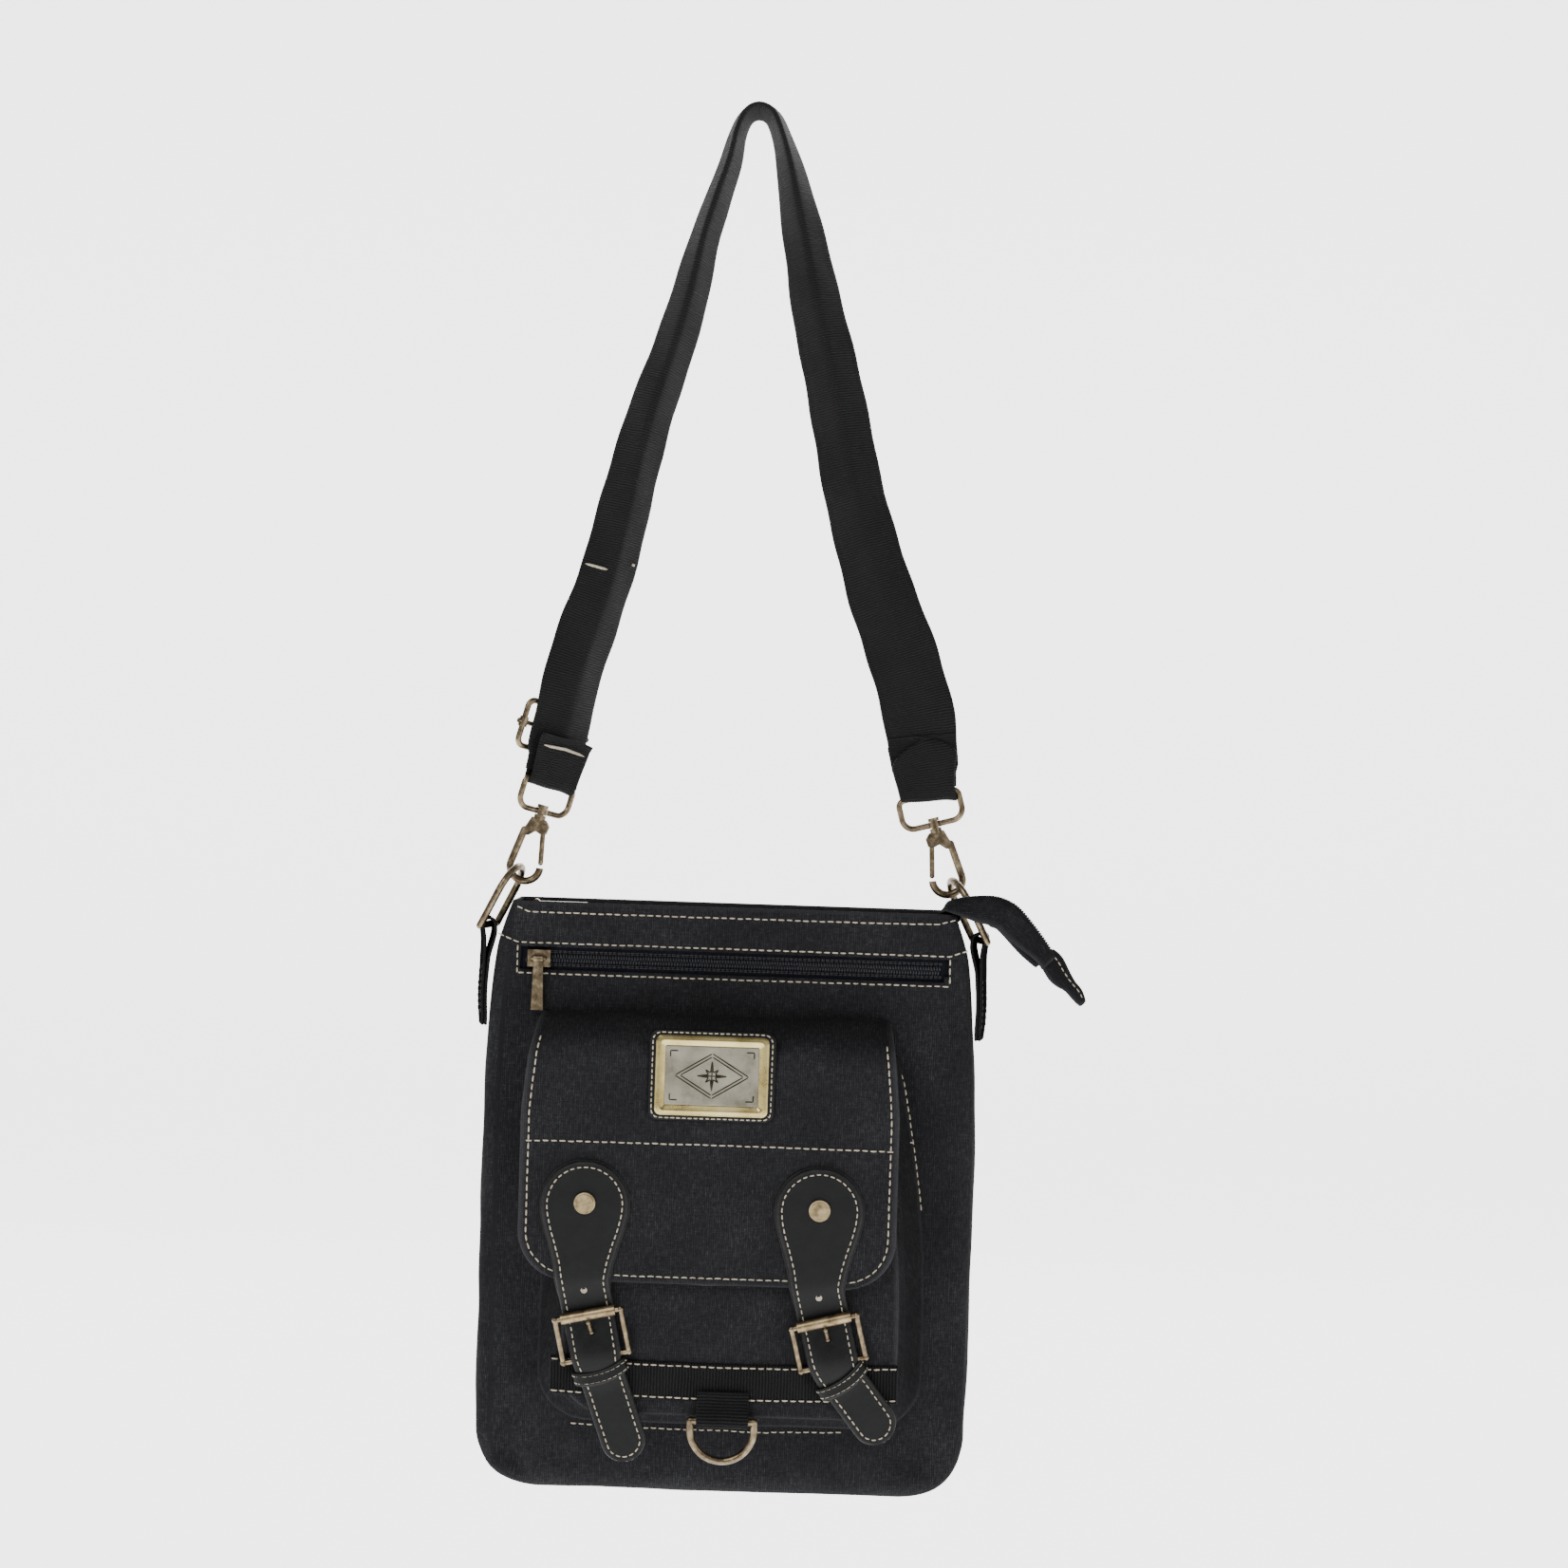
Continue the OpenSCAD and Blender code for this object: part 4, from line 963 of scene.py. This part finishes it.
# Stitches along the pocket's seams on the bag
front_row([(88.5, -503), (92.5, -512), (95, -525), (98.5, -545), (101, -560), (103.8, -580)])
front_row([(-78, -697.5), (-40, -698.3), (20, -698.6), (66, -697.4)])
for z in (-543.5, -549.5):
    pts = at(np.linspace(91, 99, 10), np.linspace(-24.5, -21.5, 10), z)
    bag_thread.row(pts, [(0.5, -0.85, 0)] * 10, pitch=3.6, length=2.8)

bag_thread.done("stitching_bag", CREAM, "bag", "canvas")

# ---- flap
FLAP_X, FLAP_BOTTOM, FLAP_R = -8.0, -615.5, 25.0
PROFILE = catmull([(-20.6, -480.6), (-24, -480.3), (-30, -481), (-38, -483.5), (-46, -488), (-51, -493),
                   (-53.2, -499), (-53.7, -506), (-53.7, -530), (-53.7, -575), (-53.7, -616)], 8)
PROFILE = resample(PROFILE, np.linspace(0, along(PROFILE)[-1], 90))
PRUN = along(PROFILE)
FLAP_LEN = PRUN[-1] - 0.5


def flap_z(s):
    return np.interp(s, PRUN, PROFILE[:, 1])


def flap_half(z, side, inset=0.0):
    """Half width of the flap at height z, with its rounded lower corners."""
    w = np.interp(-z, [478, 500, 527], [90 if side < 0 else 91.5, 94, 96.5]) - inset
    low = np.clip(FLAP_BOTTOM + FLAP_R - z, 0, FLAP_R)
    r = FLAP_R - inset
    return w - r + np.sqrt(np.maximum(r * r - low * low, 0))


def flap_at(x, s):
    """Outer face of the flap: x across, s down from its seam."""
    x, s = np.broadcast_arrays(np.asarray(x, float), np.asarray(s, float))
    y, z = np.interp(s, PRUN, PROFILE[:, 0]), flap_z(s)
    edge = np.clip((np.abs(x - FLAP_X) - 62) / 34, 0, 1)
    calm = ramp(z, -484, -500)
    curl = edge ** 2 * (1.0 * np.sin(z / 21.0 + np.sign(x) * 1.1) - 0.4) * calm
    top = (1 - calm) * 0.8 * rumple(x, s, 28, 6.6) * ramp(s, 1, 6)
    return np.stack([x, y + curl, z + top], -1)


rows = []
straight = FLAP_LEN - FLAP_R
for s in np.concatenate([np.linspace(0, straight, 74), straight + FLAP_R * np.sin(arc(0, QUARTER, 13))]):
    z = flap_z(s)
    a = np.linspace(-1, 1, 72)
    x = FLAP_X + np.where(a < 0, a * flap_half(z, -1), a * flap_half(z, 1))
    rows.append(flap_at(x, s))
P = np.array(rows)
N = unit(np.cross(np.gradient(P, axis=1), np.gradient(P, axis=0)))
N *= -1 if N[60, 36, 1] > 0 else 1
sheet("flap_cloth", P - N * 1.2, 2.3, CANVAS, "flap", "canvas", flip=True, wear_mm=1.2,
      replaces=["flap_panel", "flap_facing"])
flap_thread = Stitches()


def flap_row(points):
    """Points as (x, z), on the flap's hanging part or shoulder."""
    Q = path2(points)
    s = np.interp(-Q[:, 1], -PROFILE[:, 1][5:], PRUN[5:])
    P, N = on(flap_at, np.stack([Q[:, 0], s], -1), 0.05)
    N = forward(N)
    flap_thread.row(P + N * 0.05, N)


def edge_line(inset):
    """The flap's outline inset from its edge, from the top left round the bottom."""
    top = FLAP_BOTTOM + FLAP_R
    zz = np.concatenate([np.linspace(-490, top, 24), top - (FLAP_R - inset) * np.sin(arc(0, QUARTER, 12))])
    left, right = ([(FLAP_X + side * float(flap_half(z, side, inset)), z) for z in zz] for side in (-1, 1))
    return left + right[::-1]


flap_row(edge_line(3.4))
flap_row([(-103, -544), (0, -543.6), (87, -544)])
flap_thread.done("stitching_flap", CREAM, "flap", "canvas")

# ---- badge
BX, BZ = FLAP_X, -508.0


def rounded(w, h, r, count=10):
    """Outline of a rectangle with rounded corners, from its half sizes."""
    pts = []
    for cx, cz, a0 in ((w - r, h - r, 0), (-w + r, h - r, 90), (-w + r, -h + r, 180), (w - r, -h + r, 270)):
        for a in np.linspace(a0, a0 + 90, count):
            pts.append((cx + r * math.cos(math.radians(a)), cz + r * math.sin(math.radians(a))))
    return np.array(pts)


def ring_plate(name, loops, mat, slot, replaces, smooth=False):
    """Nested outlines joined by faces; each loop is (half width, half height, corner radius, y). The first
    and last are closed by a face unless the stack returns to where it began."""
    verts, uv = [], []
    for w, h, r, y in loops:
        pts = rounded(w, h, r)
        verts += [(BX + p[0], y, BZ + p[1]) for p in pts]
        uv += [(p[0], p[1]) for p in pts]
    k = len(pts)
    faces = grid_faces(len(loops), k, 0, True, True)
    if loops[0] != loops[-1]:
        faces += [list(range(k)), list(range((len(loops) - 1) * k, len(loops) * k))[::-1]]
    ob = build(name, verts, faces, mat, "flap", slot, uv, smooth=smooth, replaces=[replaces])
    bm = weld(ob, 0.000005)
    bm.to_mesh(ob.data)
    bm.free()


ring_plate("badge_leather", [(31.8, 22.5, 4.6, -53.4), (32.6, 23.3, 5.2, -54.0), (32.6, 23.3, 5.2, -55.0),
                             (32, 22.7, 4.8, -55.6), (31, 21.7, 4.2, -55.7)],
           LEATHER, "leather", "badge_patch", smooth=True)
ring_plate("badge_frame_metal", [(29, 20.5, 3.2, -55.6), (29, 20.5, 3.2, -56.3), (28.2, 19.7, 2.8, -57.0),
                                 (26.6, 18.1, 2.2, -57.2), (25.6, 17.1, 1.6, -56.9), (24.1, 15.4, 0.8, -56.2),
                                 (24, 15.1, 0.7, -55.5), (29, 20.5, 3.2, -55.6)],
           BRIGHT, "bright_brass", "badge_frame")
ring_plate("badge_plate_metal", [(24, 15.1, 0.5, -55.0), (24, 15.1, 0.5, -55.95), (23.6, 14.7, 0.5, -56.0)],
           PLATE, "antique_brass", "badge_plate")
# A plain geometric ornament: a compass star in a double lozenge.
orn = Stitches()


def groove(points, closed=True):
    """Engraved lines between (x, z) points round the badge's middle."""
    pts = list(points) + ([points[0]] if closed else [])
    for a, b in zip(pts[:-1], pts[1:]):
        a, b = (np.array([BX + q[0], -56.0, BZ + q[1]]) for q in (a, b))
        f = np.array([0, 0.04, 0.5, 0.96, 1])[:, None]
        orn.one(a + (b - a) * f, [np.array([0, -1, 0])] * 5, 0.34)


groove([(-19, 0), (0, 11.6), (19, 0), (0, -11.6)])
groove([(-16.2, 0), (0, 9.9), (16.2, 0), (0, -9.9)])
star = []
for q in range(16):
    a = math.pi / 2 + q * math.pi / 8
    rr = 7.6 if q % 4 == 0 else (4.6 if q % 4 == 2 else 1.9)
    star.append((rr * math.cos(a), rr * math.sin(a)))
groove(star)
for q in range(0, 16, 4):
    groove([(0, 0), star[q]], False)
for sx in (-1, 1):
    for sz in (-1, 1):
        groove([(sx * 21.5, sz * 12.6), (sx * 17.5, sz * 12.6)], False)
        groove([(sx * 21.5, sz * 12.6), (sx * 21.5, sz * 9.4)], False)
orn.done("badge_ornament", ENGRAVED, "flap", "antique_brass")
t = Stitches()
P = rounded(30.7, 21.9, 4.2, 8)
P = np.concatenate([P, P[:1]])
P = resample(P, np.linspace(0, along(P)[-1], 200))
pts = [(BX + x, -55.75, BZ + z) for x, z in P]
t.row(pts, [(0, -1, 0)] * 200, pitch=3.0, length=2.2, r=0.36, jitter=0.05)
t.done("badge_stitching", CREAM, "flap", "leather")

# ---- leather buckle straps
STRAP_X = (-71.0, 49.5)
END_TURN = (12.0, 14.0)
TAIL_TURN = (20.0, 38.0)
TAIL_LONG = (53.0, 45.0)
TAIL_START = 61.5 + 43
TOTAL = [TAIL_START + tail_long for tail_long in TAIL_LONG]
HEAD_TOP = -554.0
HEAD = 22.0
TIP = 11.0
SEW_IN = 2.6


def leather_path(i):
    """Centre line of a buckle strap from its head's top to its tail's tip: run, x, z and heading."""
    s = np.linspace(0, TOTAL[i], 320)
    head = END_TURN[i] * ramp(s, 55, 68) + (TAIL_TURN[i] - END_TURN[i]) * ramp(s, 94, 115)
    h = np.radians(head)
    ds = np.diff(s, prepend=0)
    return s, STRAP_X[i] + np.cumsum(np.sin(h) * ds), HEAD_TOP - np.cumsum(np.cos(h) * ds), h


# Height of the leather's outer face along its run.
OUTER = table([(0, -56.3), (40, -56.4), (58, -56.4), (63, -55.9), (68, -54.6), (74, -53.6), (80, -53.3),
               (86, -53.9), (92, -55.6), (98, -56.6), (102, -56.7), (107, -56.0), (112, -53.8), (118, -52.2),
               (128, -51.9), (170, -51.8)])


def leather_at(i, extra):
    """The surface of buckle strap i, extra behind its outer face: u across and v along."""
    s0, cx, cz, h = leather_path(i)

    def f(u, v):
        u, v = np.broadcast_arrays(np.asarray(u, float), np.asarray(v, float))
        x, z, a = (np.interp(v, s0, q) for q in (cx, cz, h))
        bow = 0.012 * u * u * ramp(v, 82, 96) * (1 - ramp(v, 106, 118)) * 1.2
        y = OUTER(v) + bow + extra
        return np.stack([x + u * np.cos(a), y, z + u * np.sin(a)], -1)
    return f


def leather_half(i, s):
    """Half width of buckle strap i at s along it."""
    head = np.sqrt(np.maximum(HEAD ** 2 - (HEAD - np.clip(s, 0, HEAD)) ** 2, 0))
    neck = np.interp(s, [0, 22, 27, 34, 42, 52, 62, 100, 110, TOTAL[i]],
                     [22, 22, 21.6, 20, 17.4, 14.6, 13, 12.6, 11.2, TIP])
    tip = np.clip(TIP - (TOTAL[i] - s), 0, TIP)
    end = TIP - np.sqrt(np.maximum(TIP ** 2 - tip ** 2, 0))
    return np.where(s < HEAD, head, neck) - end


for i, name in enumerate(BOTH):
    total = TOTAL[i]
    s_run, *middle = leather_path(i)
    f = leather_at(i, 0.75)
    g = leather_at(i, 2.05)
    blend = ("flap", "buckle_" + name, (STRAP_X[i], -55, -612.5), (STRAP_X[i] + 1.5, -55, -622))
    ss = np.concatenate([HEAD * (1 - np.cos(np.linspace(0.12, QUARTER, 14))), arc(HEAD, total - TIP, 62),
                         total - TIP + TIP * np.sin(arc(0, QUARTER - 0.1, 10))])
    a = np.linspace(-1, 1, 25)
    rows, under = [], []
    for s in ss:
        w = float(leather_half(i, s))
        rows.append(f(a * w, np.full(25, s)))
        grow = 1.1 * (1 - 0.75 * float(ramp(s, 60, 70)))
        under.append(g(a * (w + grow), np.full(25, s)) + [0, 0, 0.9 * (1 - float(ramp(s, 0, 16)))])
    sheet("leather_" + name, np.array(rows), 1.4, LEATHER, None, "leather", flip=True, blend=blend,
          replaces=["buckle_strap_" + name, "strap_end_" + name])
    sheet("leather_back_" + name, np.array(under), 1.1, LEATHER_BACK, None, "leather", flip=True, blend=blend)
    th = Stitches()
    head_r, tip_r = HEAD - SEW_IN, 8.6
    line_s = np.concatenate([SEW_IN + head_r * (1 - np.cos(np.linspace(0.0, QUARTER, 14))),
                             arc(HEAD, total - TIP, 60), total - TIP + tip_r * np.sin(arc(0, QUARTER, 10))])
    part = []
    for s in line_s:
        if s < HEAD:
            w = math.sqrt(max(head_r ** 2 - (HEAD - s) ** 2, 0))
        elif s > total - TIP:
            w = math.sqrt(max(tip_r ** 2 - (s - total + TIP) ** 2, 0))
        else:
            w = float(leather_half(i, s)) - SEW_IN
        part.append((w, s))
    loop = [(-w, s) for w, s in part[::-1]] + part[1:]
    P, N = on(leather_at(i, 0.0), path2(loop + [loop[0]]), 0.1)
    th.row(P, forward(N), pitch=3.6, length=2.75, r=0.36, jitter=0.06)
    th.done("leather_stitching_" + name, CREAM, None, "leather", blend=blend)
    # A punched hole just above the roller.
    hole_s = 66
    hx, hz = (float(np.interp(hole_s, s_run, q)) for q in middle[:2])
    rim = [(hx + r * math.cos(a), float(OUTER(hole_s)) - d, hz + r * math.sin(a))
           for r, d in ((1.7, 0.0), (1.5, 0.35), (1.0, 0.1)) for a in np.linspace(0, 2 * math.pi, 17)[:-1]]
    build("strap_hole_" + name, rim, grid_faces(3, 16, 0, False, True) + [list(range(32, 48))], CREAM,
          "buckle_" + name, "leather")
    # The keeper: a closed band of leather round the tail.
    x, z, h = (float(np.interp(TAIL_START + (6, 7.5)[i], s_run, q)) for q in middle)
    ex, ez = np.array([math.cos(h), 0, math.sin(h)]), np.array([-math.sin(h), 0, math.cos(h)])
    mid_y = -51.6
    keeper_half = 13.6
    rows = []
    for v in np.linspace(-3.1, 3.1, 6):
        ring_pts = []
        for q in np.linspace(0, 2 * math.pi, 49)[:-1]:
            cu, su = math.cos(q), math.sin(q)
            px = keeper_half * np.sign(cu) * abs(cu) ** 0.55
            py = 2.9 * np.sign(su) * abs(su) ** 0.7
            smile = -2.6 * (1 - (px / keeper_half) ** 2) * (1 if py < 0 else 0.3)
            ring_pts.append(np.array([x, mid_y + py - 1.2 * (py < 0), z]) + ex * px + ez * (v + smile + 1.6))
        rows.append(ring_pts)
    R = np.array(rows)
    R = np.concatenate([R, R[:, :1]], axis=1)
    sheet("keeper_band_" + name, R, 1.3, LEATHER, "buckle_" + name, "leather", rim=0.3,
          replaces=["keeper_" + name])
    kt = Stitches()
    for v in (1, 4):
        part = R[v, 22:49] if R[v, 36, 1] < mid_y else R[v, 0:26]
        cen = np.array([x, mid_y, z])
        nn = unit((part - cen) * [1, 2.2, 0.0])
        kt.row(part + nn * 0.75, nn, pitch=2.9, length=2.3, r=0.34, jitter=0.04)
    kt.done("keeper_stitching_" + name, CREAM, "buckle_" + name, "leather")

# ---- side tabs
# A tab's leather in profile, up its inner layer, round the ring and down: x, z.
TAB = [(130.1, -490), (130.1, -475), (130.0, -462), (129.7, -452), (128.7, -444), (128.1, -439.5),
       (128.4, -435.4), (130.1, -433.4), (132.4, -433.3), (134.2, -435.2), (134.5, -438.8), (133.7, -444),
       (132.5, -452), (132.0, -462), (131.9, -475), (131.9, -490)]
TAB_Y = -3.2
TAB_YAW = math.sin(math.radians(12))
for side, name in ((-1, "left"), (1, "right")):
    rows = []
    for px, pz in catmull(TAB, 4):
        end = max(0.0, (-482 - pz) / 8)
        y = np.linspace(-9.8, 9.8, 15) * (1 - 0.35 * end ** 2) + TAB_Y
        out = 1.9 * float(ramp(pz, -440, -456)) + 0.4 * np.sin(pz / 7.0)
        rows.append(at(side * (px + out + (y - TAB_Y) * TAB_YAW), y, pz))
    sheet("tab_" + name, np.array(rows), 1.5, LEATHER_TAB, "bag", "leather", flip=side < 0, wear_mm=1.2,
          replaces=["side_tab_" + name])
    tt = Stitches()
    for y in (-11.2, 4.8):
        pts = [(side * (134.6 + 0.4 * math.sin(z / 7.0) + (y - TAB_Y) * TAB_YAW), y, z)
               for z in np.linspace(-457, -484, 20)]
        tt.row(pts, [(side, 0, 0)] * 20, pitch=3.4, length=2.6, r=0.34)
    tt.done("tab_stitching_" + name, DARK_THREAD, "bag", "leather")

# ---- stage and light
floor = bpy.data.meshes.new("floor")
# The floor's profile, curving up into the wall behind: y, z.
cyc = catmull([(-4.0, -1.25), (0.0, -1.25), (2.2, -1.25), (3.2, -1.1), (3.6, -0.4), (3.7, 1.0),
               (3.7, 4.0)], 8)
STAGE_HALF = 7.0
fv = [(x, y, z) for y, z in cyc for x in (-STAGE_HALF, STAGE_HALF)]
floor.from_pydata(fv, [], [[2 * i, 2 * i + 1, 2 * i + 3, 2 * i + 2] for i in range(len(cyc) - 1)])
floor.polygons.foreach_set("use_smooth", [True] * len(floor.polygons))
floor.materials.append(Mat("stage", Roughness=0.9, Base_Color=(0.86, 0.86, 0.86, 1),
                           Emission_Color=(1, 1, 1, 1), Emission_Strength=2.6).mat)
floor_ob = bpy.data.objects.new("floor", floor)
bpy.context.scene.collection.objects.link(floor_ob)

world = bpy.data.worlds.new("studio")
world.use_nodes = True
sky = world.node_tree.nodes["Background"].inputs
sky[0].default_value = (1.0, 1.0, 1.0, 1)
sky[1].default_value = 0.2
bpy.context.scene.world = world


def area(name, loc, target, size, power):
    d = bpy.data.lights.new(name, "AREA")
    d.shape = "RECTANGLE"
    d.size, d.size_y = size
    d.energy = power
    o = bpy.data.objects.new(name, d)
    o.location = loc
    o.rotation_mode = "QUATERNION"
    o.rotation_quaternion = (Vector(target) - Vector(loc)).to_track_quat("-Z", "Y")
    bpy.context.scene.collection.objects.link(o)


area("key", (-0.9, -1.7, 0.9), (0, 0, -0.45), (0.9, 0.9), 34)
area("fill", (1.5, -1.5, 0.0), (0, 0, -0.45), (1.2, 1.2), 12)
area("back", (0.4, 1.7, 0.9), (0, 0, -0.4), (1.4, 0.9), 22)
